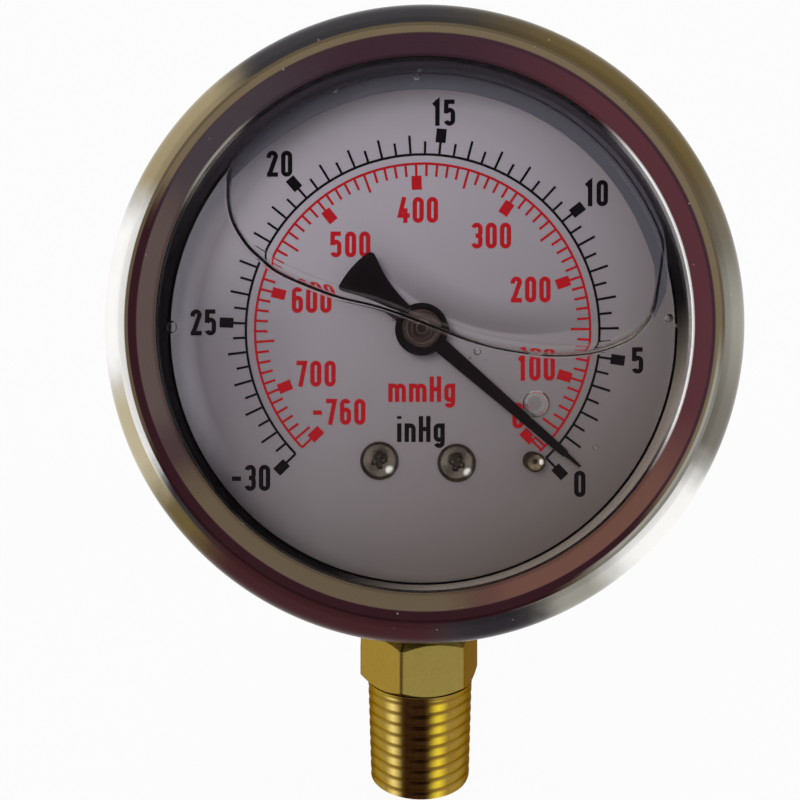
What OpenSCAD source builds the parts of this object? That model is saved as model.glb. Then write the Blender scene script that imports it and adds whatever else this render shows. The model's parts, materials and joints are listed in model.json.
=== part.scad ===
// Liquid-filled vacuum gauge, 63 mm dial, lower connection.
// The origin is the centre of the stem's end face, +Z runs up the stem and the dial faces -Y.
// The dial reads 0 to 30 inHg outside and 0 to 760 mmHg inside, and vacuum turns the pointer
// anticlockwise as seen from the front.

/* [Stem] */
// Height of the pointer's axis above the stem's end
axis_height = 59.4; // [58.4:0.2:63]
// Outside diameter of the thread at the stem's end
thread_end_d = 13.3; // [13.2:0.05:13.4]
// Length of the threaded part
thread_length = 12.5; // [11.5:0.5:13]
// Width of the hexagon across its flats
hex_width = 14; // [14:0.1:15]
// Height of the hexagon along the stem
hex_height = 7.7; // [6.7:0.1:7.8]
// Diameter of the neck that passes through the case
neck_d = 13; // [12.6:0.1:13.2]
// Diameter of the pressure port in the stem's end
port_d = 5; // [4.4:0.1:5.4]
// Depth of the pressure port
port_depth = 8; // [7:0.5:10]

/* [Case] */
// Outside diameter of the case wall
case_d = 63; // [62.8:0.1:63.4]
// Thickness of the case's sheet steel
case_wall = 0.8; // [0.7:0.05:0.9]
// Distance from the stem's axis to the outside of the case's back
back_reach = 13; // [12.8:0.1:14]
// Distance from the stem's axis forward to the case's rim
rim_reach = 13; // [12.8:0.1:13.4]
// Distance that the bezel stands out beyond the case's wall
bezel_overhang = 3.5; // [3.3:0.1:4]
// Thickness of the bezel's sheet steel
bezel_wall = 0.9; // [0.8:0.05:1]
// Distance that the bezel's lip reaches in past the case's wall
lip_reach = 1.45; // [1.3:0.05:1.9]
// Height of the bezel's crest in front of the window
crest_height = 2.4; // [2:0.1:2.8]
// Thickness of the window
window_t = 3; // [2.6:0.1:3.4]
// Thickness of the gasket between the window and the case's rim
gasket_t = 2; // [1.8:0.1:2.2]
// Diameter of the filler plug's head
plug_head_d = 9; // [8:0.2:10]

/* [Dial] */
// Gap between the dial's edge and the case's wall
dial_gap = 0.7; // [0.4:0.1:1.4]
// Thickness of the dial
dial_t = 0.5; // [0.4:0.05:0.6]
// Distance from the stem's axis forward to the dial's face
dial_reach = 10.6; // [10.4:0.05:10.8]
// Angle that both scales sweep
scale_sweep = 270; // [266:1:270]
// Radius of the arc of the outer, inHg scale
outer_arc_r = 21.1; // [20.5:0.1:21.6]
// Gap between the arcs of the outer scale and the inner, mmHg scale
scale_gap = 1.1; // [0.8:0.1:1.5]
// Distance between the two dial screws
dial_screw_spacing = 9.2; // [9:0.1:9.8]
// Distance of the dial screws below the pointer's axis
dial_screw_drop = 15.6; // [15.4:0.05:16]
// Turn of the pair of dial screws about the pointer's axis, anticlockwise
dial_screw_turn = -1.5; // [-2:0.5:0]

/* [Pointer] */
// Distance that the pointer reaches past the arc of the outer scale
pointer_reach = 3.2; // [2.4:0.1:3.6]
// Length of the pointer's counterweight from its axis
tail_length = 10.9; // [10:0.1:12]
// Thickness of the pointer
pointer_t = 0.4; // [0.3:0.05:0.5]
// Diameter of the disc round the pointer's hub
disc_d = 6.2; // [5.8:0.1:6.6]
// Angle of the pointer at rest, from the right-hand side, anticlockwise
rest_angle = -41; // [-42:0.5:-38]
// Diameter of the stop pin's head
stop_head_d = 2.5; // [2.4:0.1:2.8]

/* [Movement] */
// Module of the pinion and the sector
gear_module = 0.25; // [0.25:0.01:0.25]
// Number of teeth on the pinion
pinion_teeth = 12; // [12:1:12]
// Number of teeth on the sector's full circle
sector_circle_teeth = 120; // [118:2:122]
// Thickness of the sector
sector_t = 1; // [0.8:0.05:1.1]
// Length of the sector's tail from its pivot to the link's pin
tail_arm = 6.3; // [6:0.1:6.6]
// Thickness of the movement's two plates
plate_t = 1; // [0.8:0.05:1]
// Free height between the movement's plates
plate_gap = 5.2; // [5.2:0.05:5.5]

/* [Bourdon tube] */
// Mean radius of the tube's arc
tube_r = 22.5; // [22.2:0.1:23.2]
// Width of the flattened tube, front to back
tube_width = 7.6; // [7:0.1:8]
// Thickness of the flattened tube across the arc
tube_thickness = 2.4; // [2.2:0.1:2.6]
// Wall of the tube
tube_wall = 0.35; // [0.3:0.05:0.45]

/* [Hidden] */
$fn = 72;

// Clearances
running = 0.04;      // a shaft in a plain hole, on the radius
slack = 0.1;         // parts that are only near each other
loose = 0.3;         // clearance holes, on the radius

// Radii and depths of the case, bezel and window. Depths count along Y, and the front is negative.
case_r = case_d / 2;
case_in_r = case_r - case_wall;
bezel_r = case_r + bezel_overhang;
opening_r = case_in_r - lip_reach;
rim_y = -rim_reach;
window_back_y = rim_y - gasket_t;
window_front_y = window_back_y - window_t;
crest_y = window_front_y - crest_height;
flange_r = bezel_r - bezel_wall - 0.5;
shoulder_r = 2.3;
back_corner_r = 3;
emboss_r = case_r - 9.5;
gasket_reach = 0.7;
gasket_lip_t = 0.5;
emboss_depth = 0.7;

// Stem
thread_end_r = thread_end_d / 2;
thread_pitch = 25.4 / 18;
thread_depth = 0.8 * thread_pitch;
crest_flat = 0.12 * thread_pitch;
taper = 1 / 32;                      // radius gained for each mm of length
end_chamfer = 1.2;
hex_top = thread_length + hex_height;
hex_corner_r = hex_width / 2 / cos(30);
hex_bevel_r = hex_width / 2 - 0.05;  // radius of the bevel's edge on the hexagon's end
hex_turn = 13.5;                     // turn of the hexagon about the stem
neck_r = neck_d / 2;
port_r = port_d / 2;
passage_r = 1.5;
passage_top = axis_height - 19.5;
case_bottom = axis_height - case_in_r;

// Seal between neck and case
ring_r = 0.8;
ring_groove_r = neck_r - 1.2;
ring_mean_r = ring_groove_r + ring_r;
collar_in_r = ring_mean_r + ring_r + 0.05;
collar_wall = 0.8;
collar_height = 2.8;
ring_z = case_bottom + 1;

// Block inside the case that carries tube and movement
base_half_w = 13;
base_top = case_bottom + 7;
base_front_y = -7;
block_half_w = 8;
block_top = axis_height - 12.6;
block_back_y = 9.4;
socket_screw_inset = 3;              // from the base's side to the screw's line, at the case's wall
socket_screw_r = 1.5;
socket_screw_grip = 5;
// degrees round the gauge's axis, each side of the stem
socket_screw_lean = asin((base_half_w - socket_screw_inset) / case_in_r);

// Dial and pointer
dial_y = -dial_reach;
dial_r = case_in_r - dial_gap;
inner_arc_r = outer_arc_r - scale_gap;
pointer_length = outer_arc_r + pointer_reach;
dial_back_y = dial_y + dial_t;
print_t = 0.04;
pointer_y = dial_y - 2.3;            // front face of the pointer
disc_r = disc_d / 2;
hub_r = 2.25;
hub_y = pointer_y - 0.9;
dial_hole_r = 1.6;
dial_screw_r = 1;
dial_head_r = 2.05;
dial_head_h = 1.2;
post_hex_r = 2.2;
post_foot = 3.8;                     // length of the dial posts' thread in the socket
dial_screw_grip = 3.5;

// Scales. Both start 1 inHg short, where a stop pin holds the pointer at zero.
scale_start = 90 + scale_sweep / 2;
inhg_span = 29;
mmhg_per_inhg = 25.4;
deg_per_inhg = scale_sweep / inhg_span;
stroke = 0.28;
block_w = 1.2;

// Movement. In-plane places are [x, height above the pointer's axis].
bottom_plate_y = 0;                  // back face of the bottom plate
bottom_front_y = bottom_plate_y - plate_t;
top_back_y = bottom_front_y - plate_gap;
top_front_y = top_back_y - plate_t;
pinion_r = gear_module * pinion_teeth / 2;
sector_r = gear_module * sector_circle_teeth / 2;
gear_ratio = sector_circle_teeth / pinion_teeth;
pressure_angle = 20;
addendum = 0.75 * gear_module;
dedendum = 1.0 * gear_module;
backlash = 0.05;
sector_dir = -51.6;                  // from the pinion to the sector's pivot
sector_pivot = (pinion_r + sector_r) * [cos(sector_dir), sin(sector_dir)];
mesh_dir = sector_dir + 180;
tail_dir = -37.9;
tail_pin = sector_pivot + tail_arm * [cos(tail_dir), sin(tail_dir)];
sector_y = -3.6;                     // back face of the sector
sector_front_y = sector_y - sector_t;
link_t = 0.8;
link_y = sector_front_y - 0.15;      // back face of the link
link_front_y = link_y - link_t;
pin_head_t = 0.3;
arbor_r = 0.8;
pivot_r = 0.5;
link_pin_r = 0.55;
pinion_y = [-5.6, -2.7];             // front and back of the pinion's teeth
collet_r = 1.3;
collet_y = [-2.5, -1.4];
teeth_before = 3;                    // teeth of the sector below the mesh at rest
teeth_after = 12;                    // teeth of the sector above it

// Bourdon tube
tube_y = 4.6;                        // middle of the tube's width
tube_root_angle = 255;
tube_tip_angle = -25;
tip_pin_angle = -31;
tube_end = tube_r * [cos(tube_tip_angle), sin(tube_tip_angle)];
tip_pin_at = tube_r * [cos(tip_pin_angle), sin(tip_pin_angle)];
cap_front_y = 0.3;
cap_back_y = 9;
lug_r = 1.9;
cap_r = 2.5;
tip_hole_gain = 0.1;                 // extra room for the tip's pin in the link

// Posts between the movement's plates, and the dial's posts
post_r = 1.5;
plate_corner_r = 3;
plate_screw_r = 0.6;
plate_screw_grip = 2.2;
plate_head_r = 1.3;
plate_head_h = 0.9;
post_places = [[-6, 4.2], [14.1, -9], [-2.4, -11.9]];
dial_post_places = [
    for (s = [-1, 1])
        let (x = s * dial_screw_spacing / 2, a = dial_screw_turn)
        [x * cos(a) + dial_screw_drop * sin(a), x * sin(a) - dial_screw_drop * cos(a)]
];

// Hairspring
spring_turns = 3.5;
spring_in_r = collet_r;
spring_out_r = 4.7;
spring_t = 0.16;
spring_y = [-2.3, -1.7];
spring_end_dir = 240;
spring_steps = 24;                   // straight pieces for each turn

// Polygon points along an arc, in degrees
function arc(centre, r, from, to, steps = 6) = [
    for (i = [0 : steps])
        let (a = from + (to - from) * i / steps)
        centre + r * [cos(a), sin(a)]
];

// Outline of corners, listed anticlockwise, each rounded outward by r
function rounded(corners, r) = let (n = len(corners)) [
    for (i = [0 : n - 1])
        let (
            p = corners[i],
            d0 = p - corners[(i + n - 1) % n],
            d1 = corners[(i + 1) % n] - p,
            a0 = atan2(d0[1], d0[0]) - 90,
            a1 = atan2(d1[1], d1[0]) - 90
        )
        each arc(p, r, a0, a1 < a0 ? a1 + 360 : a1)
];

// Point at a radius and angle
function polar(r, a) = r * [cos(a), sin(a)];

// Moves a flat drawing of x and height into place, from y0 back to y1
module across(y0, y1) {
    translate([0, y1, axis_height])
        rotate([90, 0, 0])
            linear_extrude(y1 - y0)
                children();
}

// Turns a profile of [radius, y] about the gauge's axis
module about_axis() {
    translate([0, 0, axis_height])
        rotate([-90, 0, 0])
            rotate_extrude($fn = 144)
                children();
}

// Turns a profile of [radius, y] about a line parallel to the gauge's axis
module about_line(at) {
    translate([at[0], 0, axis_height + at[1]])
        rotate([-90, 0, 0])
            rotate_extrude()
                children();
}

// Two circles and the bar between them
module bar(p, q, r) {
    d = q - p;
    translate(p) circle(r);
    translate(q) circle(r);
    translate(p)
        rotate(atan2(d[1], d[0]))
            translate([0, -r])
                square([norm(d), 2 * r]);
}

// Straight-sided slice of a circle
module slice(r, from, to) {
    polygon(concat([[0, 0]], arc([0, 0], r * 1.2, from, to, 8)));
}

// Pan head with a cross recess, its top towards the front. seat is the y that it bears on.
module pan_head(at, r, h, seat) {
    edge = 0.45 * h;
    dome_r = (r * r + (h - edge) * (h - edge)) / 2 / (h - edge);
    sweep = asin(r / dome_r);
    difference() {
        about_line(at)
            polygon(concat(
                [[0, seat], [r, seat]],
                arc([0, seat - h + dome_r], dome_r, 270 + sweep, 270, 5)));
        for (turn = [20, 110])
            translate([at[0], 0, axis_height + at[1]])
                rotate([0, turn, 0])
                    translate([-0.55 * r, seat - h - 1, -0.11 * r])
                        cube([1.1 * r, 1 + 0.55 * h, 0.22 * r]);
    }
}

// Case, bezel and window

module case_cup() {
    y_back = back_reach;
    in_r = back_corner_r - case_wall;
    about_axis()
        polygon(concat(
            [[0, y_back - emboss_depth], [emboss_r, y_back - emboss_depth], [emboss_r + 1, y_back]],
            arc([case_r - back_corner_r, y_back - back_corner_r], back_corner_r, 90, 0),
            [[case_r, rim_y + case_wall], [flange_r, rim_y + case_wall], [flange_r, rim_y],
             [case_in_r, rim_y]],
            arc([case_r - back_corner_r, y_back - back_corner_r], in_r, 0, 90),
            [[emboss_r + 1.2, y_back - case_wall],
             [emboss_r + 0.2, y_back - emboss_depth - case_wall],
             [0, y_back - emboss_depth - case_wall]]));
}

module case() {
    color("silver")
    difference() {
        union() {
            case_cup();
            translate([0, 0, case_bottom - case_wall / 2])
                cylinder(r = collar_in_r + collar_wall, h = collar_height + case_wall / 2);
        }
        translate([0, 0, case_bottom - 5])
            cylinder(r = collar_in_r, h = collar_height + 10);
        for (side = [-1, 1])
            socket_screw_line(side)
                cylinder(r = socket_screw_r + slack, h = case_r);
        translate([0, 1, axis_height])
            cylinder(r = plug_neck_r, h = case_r + 2);
    }
}

// Section: lip, slope up to the crest, round shoulder, wall, and the crimp behind the case's rim
module bezel() {
    lip_top = window_front_y - bezel_wall;
    crest_x = bezel_r - shoulder_r;
    centre = [crest_x, crest_y + shoulder_r];
    in_r = shoulder_r - bezel_wall;
    crimp_y = rim_y + case_wall;
    crimp_in = case_r + 0.5;
    color("lightgray")
        about_axis()
            polygon(concat(
                [[opening_r, window_front_y], [opening_r, lip_top],
                 [crest_x - 0.9, crest_y + 0.12]],
                arc(centre, shoulder_r, 270, 360, 8),
                arc([bezel_r - bezel_wall, crimp_y], bezel_wall, 0, 90, 4),
                [[crimp_in, crimp_y + bezel_wall], [crimp_in, crimp_y],
                 [bezel_r - bezel_wall, crimp_y]],
                arc(centre, in_r, 360, 270, 6),
                [[crest_x - 0.6, crest_y + 0.12 + bezel_wall],
                 [opening_r + 1.4, window_front_y]]));
}

module window() {
    edge_r = flange_r - 0.5;
    bevel = 0.5;
    color([0.85, 0.92, 0.95, 0.3])
        about_axis()
            polygon([[0, window_front_y], [edge_r - bevel, window_front_y],
                     [edge_r, window_front_y + bevel], [edge_r, window_back_y],
                     [0, window_back_y]]);
}

// Flat ring with a thin lip that lines the case's rim
module window_gasket() {
    ring_in = case_in_r - gasket_reach;
    ring_out = flange_r - loose;
    lip_out = case_in_r - 0.02;
    lip_in = lip_out - gasket_lip_t;
    color("black")
        about_axis()
            polygon([[ring_in, window_back_y], [ring_out, window_back_y],
                     [ring_out, rim_y], [lip_out, rim_y], [lip_out, rim_y + gasket_t],
                     [lip_in, rim_y + gasket_t], [ring_in, rim_y]]);
}

plug_head_r = plug_head_d / 2;
plug_neck_r = plug_head_r - 1.1;
plug_head_h = 1.9;
plug_barb_h = 1.6;

// Mushroom plug with a barb under the case's wall and a dished head
module fill_plug() {
    top = case_wall + plug_head_h;
    dish_r = plug_head_r * 0.5;
    color([0.12, 0.12, 0.13])
        translate([0, 1, axis_height + case_in_r])
            rotate_extrude()
                polygon([[0, -plug_barb_h], [plug_neck_r - 0.6, -plug_barb_h],
                         [plug_neck_r + 0.7, -0.4], [plug_neck_r, -0.4],
                         [plug_neck_r - 0.02, case_wall], [plug_head_r, case_wall],
                         [plug_head_r, top - 0.8], [plug_head_r - 0.8, top], [dish_r, top],
                         [dish_r - 0.4, top - 0.6], [0, top - 0.6]]);
}

// Stem and socket

// Crests of a 1:16 taper thread, each a short cylinder, with V grooves between them
function thread_profile() = let (
    turns = floor((thread_length - end_chamfer - 0.5) / thread_pitch),
    z0 = end_chamfer
) [
    for (i = [0 : turns - 1])
        let (z = z0 + i * thread_pitch, r = thread_end_r + z * taper)
        for (p = [
            [r, z],
            [r, z + crest_flat],
            [r - thread_depth * 0.82, z + (thread_pitch + crest_flat) / 2]
        ])
            p
];

module stem_turning() {
    r_top = thread_end_r + thread_length * taper;
    rotate_extrude()
        polygon(concat(
            [[0, 0], [thread_end_r - end_chamfer, 0]],
            thread_profile(),
            [[r_top - 0.1, thread_length - 0.75], [r_top - 0.1, thread_length + 0.6], [0, thread_length + 0.6]]));
}

// Hexagon with both ends turned to a bevel
module stem_hex() {
    out_r = hex_corner_r + slack;
    run = out_r - hex_bevel_r;
    intersection() {
        translate([0, 0, thread_length])
            rotate(hex_turn)
                cylinder(r = hex_corner_r, h = hex_height, $fn = 6);
        rotate_extrude()
            polygon([[0, thread_length], [hex_bevel_r, thread_length],
                     [out_r, thread_length + run], [out_r, hex_top - run * tan(30)],
                     [hex_bevel_r, hex_top], [0, hex_top]]);
    }
}

module neck() {
    top = ring_z + ring_r + 0.1;
    bottom = ring_z - ring_r - 0.1;
    rotate_extrude()
        polygon([[0, hex_top - 0.1], [neck_r, hex_top - 0.1], [neck_r, bottom],
                 [ring_groove_r, bottom], [ring_groove_r, top], [neck_r, top],
                 [neck_r, base_top - 1], [0, base_top - 1]]);
}

// Base on the case's wall, and the upright behind the movement
module socket_block() {
    difference() {
        intersection() {
            translate([-base_half_w, base_front_y, case_bottom])
                cube([2 * base_half_w, block_back_y - base_front_y, base_top - case_bottom]);
            across(base_front_y, block_back_y) circle(case_in_r - 0.02, $fn = 144);
        }
        translate([0, 0, case_bottom - 1])
            cylinder(r = collar_in_r + collar_wall + slack, h = 1 + collar_height + slack);
    }
    translate([-block_half_w, bottom_plate_y, base_top - 1])
        cube([2 * block_half_w, block_back_y - bottom_plate_y, block_top - base_top + 1]);
}

module socket() {
    color("goldenrod")
    difference() {
        union() {
            stem_turning();
            stem_hex();
            neck();
            socket_block();
        }
        translate([0, 0, -1]) cylinder(r = port_r, h = port_depth + 1);
        cylinder(r = passage_r, h = passage_top);
        translate([0, tube_y, passage_top - 1.6])
            rotate([0, -90, 0])
                cylinder(r = 1, h = 5);
        translate([0, 0, passage_top - 1.6])
            rotate([-90, 0, 0])
                cylinder(r = 1, h = tube_y + 0.9);
        tube_solid(tube_root_angle, tube_root_angle - 30);
        for (at = dial_post_places)
            translate([at[0], bottom_plate_y - 1, axis_height + at[1]])
                rotate([-90, 0, 0])
                    cylinder(r = dial_screw_r, h = 1 + post_foot + loose);
        for (side = [-1, 1])
            socket_screw_line(side)
                cylinder(r = socket_screw_r, h = case_r);
    }
}

// Line of a socket screw: z runs outward from the end of the screw's hole
module socket_screw_line(side) {
    translate([0, 0, axis_height])
        rotate([0, 180 + side * socket_screw_lean, 0])
            translate([0, 0, case_in_r - socket_screw_grip])
                children();
}

module socket_screws() {
    shank_r = socket_screw_r - 0.02;
    seat = socket_screw_grip + case_wall + 0.15;
    head_r = 1.75 * socket_screw_r;
    head_h = 1.05 * socket_screw_r;
    slot_w = 0.37 * socket_screw_r;
    color("silver")
    for (side = [-1, 1])
        socket_screw_line(side)
            difference() {
                rotate_extrude()
                    polygon([[0, slack], [shank_r * 0.8, slack], [shank_r, slack + shank_r * 0.2],
                             [shank_r, seat], [head_r, seat], [head_r, seat + head_h * 0.6],
                             [head_r * 0.8, seat + head_h], [0, seat + head_h]]);
                for (turn = [0, 90])
                    rotate(turn)
                        translate([-head_r * 0.58, -slot_w / 2, seat + head_h * 0.4])
                            cube([head_r * 1.16, slot_w, head_h]);
            }
}

module neck_o_ring() {
    color([0.1, 0.1, 0.1])
        rotate_extrude()
            translate([ring_mean_r, ring_z])
                circle(ring_r - 0.02);
}

// Slotted screw with a fine hole, which damps pressure shocks
module restrictor() {
    color("goldenrod")
    difference() {
        translate([0, 0, port_depth])
            cylinder(r = passage_r - 0.02, h = 3);
        translate([0, 0, port_depth - 1])
            cylinder(r = 0.3, h = 5);
        translate([-2, -0.25, port_depth - 1])
            cube([4, 0.5, 1.6]);
    }
}

// Bourdon tube and link

// Flattened oval section with round edges
module oval(width, thickness) {
    r = thickness / 2;
    for (s = [-1, 1])
        translate([0, s * (width / 2 - r)])
            circle(r, $fn = 32);
    square([thickness, width - 2 * r], center = true);
}

// Sweep of a section along the tube's arc, between two angles seen from the front
module tube_sweep(from, to) {
    translate([0, tube_y, axis_height])
        rotate([90, 0, 0])
            rotate(min(from, to))
                rotate_extrude(angle = abs(to - from), $fn = 144)
                    translate([tube_r, 0])
                        children();
}

module tube_solid(from, to) {
    tube_sweep(from, to) oval(tube_width, tube_thickness);
}

module bourdon_tube() {
    color("peru")
    tube_sweep(tube_root_angle, tube_tip_angle)
        difference() {
            oval(tube_width, tube_thickness);
            oval(tube_width - 2 * tube_wall, tube_thickness - 2 * tube_wall);
        }
}

// End cap brazed on the tube, with a lug that reaches forward to the link
module tube_tip() {
    color("goldenrod")
    difference() {
        union() {
            across(cap_front_y, cap_back_y) bar(tube_end, tip_pin_at, cap_r);
            across(sector_front_y, cap_front_y + 0.1) translate(tip_pin_at) circle(lug_r);
        }
        tube_solid(tube_tip_angle + 15, tube_tip_angle);
        across(sector_front_y - 1, sector_front_y + 2.5)
            translate(tip_pin_at)
                circle(link_pin_r);
    }
}

// Rivet in the tip's lug, on which the link hangs
module tip_pin() {
    color("silver")
        about_line(tip_pin_at)
            polygon([[0, sector_front_y + 2.5], [link_pin_r, sector_front_y + 2.5],
                     [link_pin_r, link_front_y - 0.1], [1.1, link_front_y - 0.1],
                     [1.1, link_front_y - 0.1 - pin_head_t], [0, link_front_y - 0.1 - pin_head_t]]);
}

module link() {
    color("gold")
    across(link_front_y, link_y)
        difference() {
            bar(tail_pin, tip_pin_at, 1.35);
            translate(tail_pin) circle(link_pin_r + running);
            translate(tip_pin_at) circle(link_pin_r + running + tip_hole_gain);
        }
}

// Shoulder screw in the sector's tail
module link_screw() {
    color("silver")
        about_line(tail_pin)
            polygon([[0, sector_y], [link_pin_r, sector_y],
                     [link_pin_r, link_front_y - 0.1], [1.1, link_front_y - 0.1],
                     [1.1, link_front_y - 0.1 - pin_head_t], [0, link_front_y - 0.1 - pin_head_t]]);
}

// Movement

module pivots(r) {
    circle(r);
    translate(sector_pivot) circle(r);
}

// Flat plate with a round corner about each of its fixings, which are listed anticlockwise
module plate_outline(corners) {
    polygon(rounded(corners, plate_corner_r));
}

module bottom_plate() {
    color("goldenrod")
    across(bottom_front_y, bottom_plate_y)
        difference() {
            plate_outline([post_places[0], dial_post_places[0], dial_post_places[1],
                           sector_pivot, post_places[1]]);
            pivots(pivot_r + running);
            for (at = dial_post_places) translate(at) circle(dial_screw_r + 0.05);
            for (at = post_places) translate(at) circle(plate_screw_r);
            translate(polar(spring_out_r, spring_end_dir)) circle(0.4);
        }
}

module top_plate() {
    color("goldenrod")
    across(top_front_y, top_back_y)
        difference() {
            plate_outline([post_places[0], post_places[2], sector_pivot, post_places[1]]);
            circle(arbor_r + running);
            translate(sector_pivot) circle(pivot_r + running);
            for (at = post_places) translate(at) circle(plate_screw_r + slack);
            for (at = dial_post_places) translate(at) circle(post_hex_r + 0.4);
        }
}

// Posts with a riveted shank in the bottom plate and a tapped front end
module plate_posts() {
    color("silver")
    for (at = post_places)
        difference() {
            about_line(at)
                polygon([[0, bottom_plate_y], [plate_screw_r, bottom_plate_y],
                         [plate_screw_r, bottom_front_y], [post_r, bottom_front_y],
                         [post_r, top_back_y], [0, top_back_y]]);
            across(top_back_y - 1, top_back_y + plate_screw_grip + loose)
                translate(at)
                    circle(plate_screw_r);
        }
}

module plate_screws() {
    shank_r = plate_screw_r - 0.01;
    end = top_back_y + plate_screw_grip;
    head_y = top_front_y - plate_head_h;
    slot_w = plate_head_r * 0.23;
    color("silver")
    for (at = post_places)
        difference() {
            about_line(at)
                polygon([[0, end], [shank_r, end], [shank_r, top_front_y],
                         [plate_head_r, top_front_y], [plate_head_r, top_front_y - plate_head_h * 0.6],
                         [plate_head_r * 0.77, head_y], [0, head_y]]);
            translate([at[0] - 1.5 * plate_head_r, head_y - 1, axis_height + at[1] - slot_w / 2])
                cube([3 * plate_head_r, 1 + plate_head_h / 2, slot_w]);
        }
}

// Involute measured as an angle in degrees
function involute(a) = tan(a) * 180 / PI - a;

// Half the angle that a tooth takes up at radius rho
function tooth_half(rho, r, teeth) = let (
    base = r * cos(pressure_angle),
    at_pitch = 90 / teeth - backlash / 2 / r * 90 / PI
) at_pitch + involute(pressure_angle) - involute(acos(min(1, base / rho)));

// One tooth pointing along +x, from inside the root circle to the tip
module tooth(r, teeth) {
    base = r * cos(pressure_angle);
    tip = r + addendum;
    low = max(r - dedendum, base);
    steps = 4;
    radii = [for (i = [0 : steps]) low + (tip - low) * i / steps];
    root_half = tooth_half(low, r, teeth);
    polygon(concat(
        [polar(r - dedendum - 0.08, -root_half)],
        [for (rho = radii) polar(rho, -tooth_half(rho, r, teeth))],
        [for (i = [steps : -1 : 0]) polar(radii[i], tooth_half(radii[i], r, teeth))],
        [polar(r - dedendum - 0.08, root_half)]));
}

module pinion() {
    color("silver")
    union() {
        across(pinion_y[0], pinion_y[1])
            union() {
                circle(pinion_r - dedendum);
                for (i = [0 : pinion_teeth - 1])
                    rotate(sector_dir + i * 360 / pinion_teeth)
                        tooth(pinion_r, pinion_teeth);
            }
        about_axis()
            polygon([[0, bottom_plate_y + 0.3], [pivot_r, bottom_plate_y + 0.3],
                     [pivot_r, bottom_front_y - 0.15], [arbor_r, bottom_front_y - 0.15],
                     [arbor_r, hub_y + 0.25], [arbor_r - 0.15, hub_y], [0, hub_y]]);
    }
}

module hairspring_collet() {
    color("goldenrod")
    across(collet_y[0], collet_y[1])
        difference() {
            circle(collet_r);
            circle(arbor_r);
        }
}

// Fan, hub and tail. The fan's middle is open between two spokes.
module sector() {
    step = 360 / sector_circle_teeth;
    from = mesh_dir - teeth_before * step;
    to = mesh_dir + teeth_after * step;
    rim_out = sector_r - dedendum;
    rim_in = rim_out - 2.2;
    color("gold")
    across(sector_front_y, sector_y)
        difference() {
            union() {
                translate(sector_pivot) {
                    circle(2.6);
                    intersection() {
                        difference() {
                            circle(rim_out, $fn = 144);
                            circle(rim_in, $fn = 144);
                        }
                        slice(sector_r, from, to);
                    }
                    for (a = [from + 3, to - 3])
                        bar([0, 0], polar(rim_in + 0.6, a), 1);
                    for (i = [-teeth_before : teeth_after - 1])
                        rotate(mesh_dir + (i + 0.5) * step)
                            tooth(sector_r, sector_circle_teeth);
                }
                bar(sector_pivot, tail_pin, 1.5);
            }
            translate(sector_pivot) circle(arbor_r);
            translate(tail_pin) circle(link_pin_r);
        }
}

module sector_arbor() {
    color("silver")
        about_line(sector_pivot)
            polygon([[0, bottom_plate_y + 0.2], [pivot_r, bottom_plate_y + 0.2],
                     [pivot_r, bottom_front_y - 0.15], [1.2, bottom_front_y - 0.15],
                     [1.2, sector_y], [arbor_r, sector_y], [arbor_r, top_back_y + 0.15],
                     [pivot_r, top_back_y + 0.15], [pivot_r, top_front_y - 0.2],
                     [0, top_front_y - 0.2]]);
}

// Flat spiral that takes the play out of the gears
function spiral(offset) = [
    for (i = [0 : spring_turns * spring_steps])
        let (t = i / (spring_turns * spring_steps))
        polar(spring_in_r + offset + (spring_out_r - spring_in_r - spring_t) * t,
              spring_end_dir - spring_turns * 360 * (1 - t))
];

module hairspring() {
    inner = spiral(0);
    outer = spiral(spring_t);
    color("goldenrod")
    across(spring_y[0], spring_y[1])
        polygon(concat(inner, [for (i = [len(outer) - 1 : -1 : 0]) outer[i]]));
}

module hairspring_stud() {
    at = polar(spring_out_r, spring_end_dir);
    color("silver")
    difference() {
        about_line(at)
            polygon([[0, bottom_plate_y], [0.38, bottom_plate_y], [0.38, bottom_front_y],
                     [0.75, bottom_front_y], [0.75, spring_y[0] - 0.2], [0, spring_y[0] - 0.2]]);
        across(spring_y[0] - 1, spring_y[1] + 0.1)
            rotate(spring_end_dir)
                translate([spring_out_r - spring_t - 0.05, -2])
                    square([spring_t + 0.07, 4]);
    }
}

// Dial and its print

module dial() {
    color("white")
    across(dial_y, dial_back_y)
        difference() {
            circle(dial_r, $fn = 144);
            circle(dial_hole_r);
            for (at = dial_post_places) translate(at) circle(dial_screw_r + 0.1);
            translate(stop_at) circle(0.8);
        }
}

// Angle of a reading on the outer scale. Readings under 1 inHg share the zero mark.
function inhg_angle(v) = scale_start - (30 - max(v, 1)) * deg_per_inhg;

function mmhg_angle(v) = scale_start
    - (760 - max(v, mmhg_per_inhg)) / mmhg_per_inhg * deg_per_inhg;

// Mark from radius r0 out to r1
module mark(angle, r0, r1, width = stroke) {
    rotate(angle)
        translate([r0, -width / 2])
            square([r1 - r0, width]);
}

module scale_arc(r) {
    intersection() {
        difference() {
            circle(r + stroke / 2, $fn = 144);
            circle(r - stroke / 2, $fn = 144);
        }
        polygon(concat([[0, 0]], arc([0, 0], r * 1.3, scale_start - scale_sweep, scale_start, 24)));
    }
}

// Outer scale: a mark each half inHg, longer at whole ones, with a block at each five
module inhg_scale() {
    short_r = outer_arc_r + 1.55;
    long_r = outer_arc_r + 2.3;
    block_r = outer_arc_r + 3.15;
    color([0.05, 0.05, 0.05])
    across(dial_y - print_t, dial_y)
        union() {
            scale_arc(outer_arc_r);
            for (half = [2 : 60])
                let (v = half / 2, a = inhg_angle(v), whole = half % 2 == 0)
                mark(a, outer_arc_r, (whole && v > 1) ? long_r : short_r);
            for (v = [0 : 5 : 30])
                mark(inhg_angle(v), short_r - 0.05, block_r, block_w);
        }
}

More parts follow.
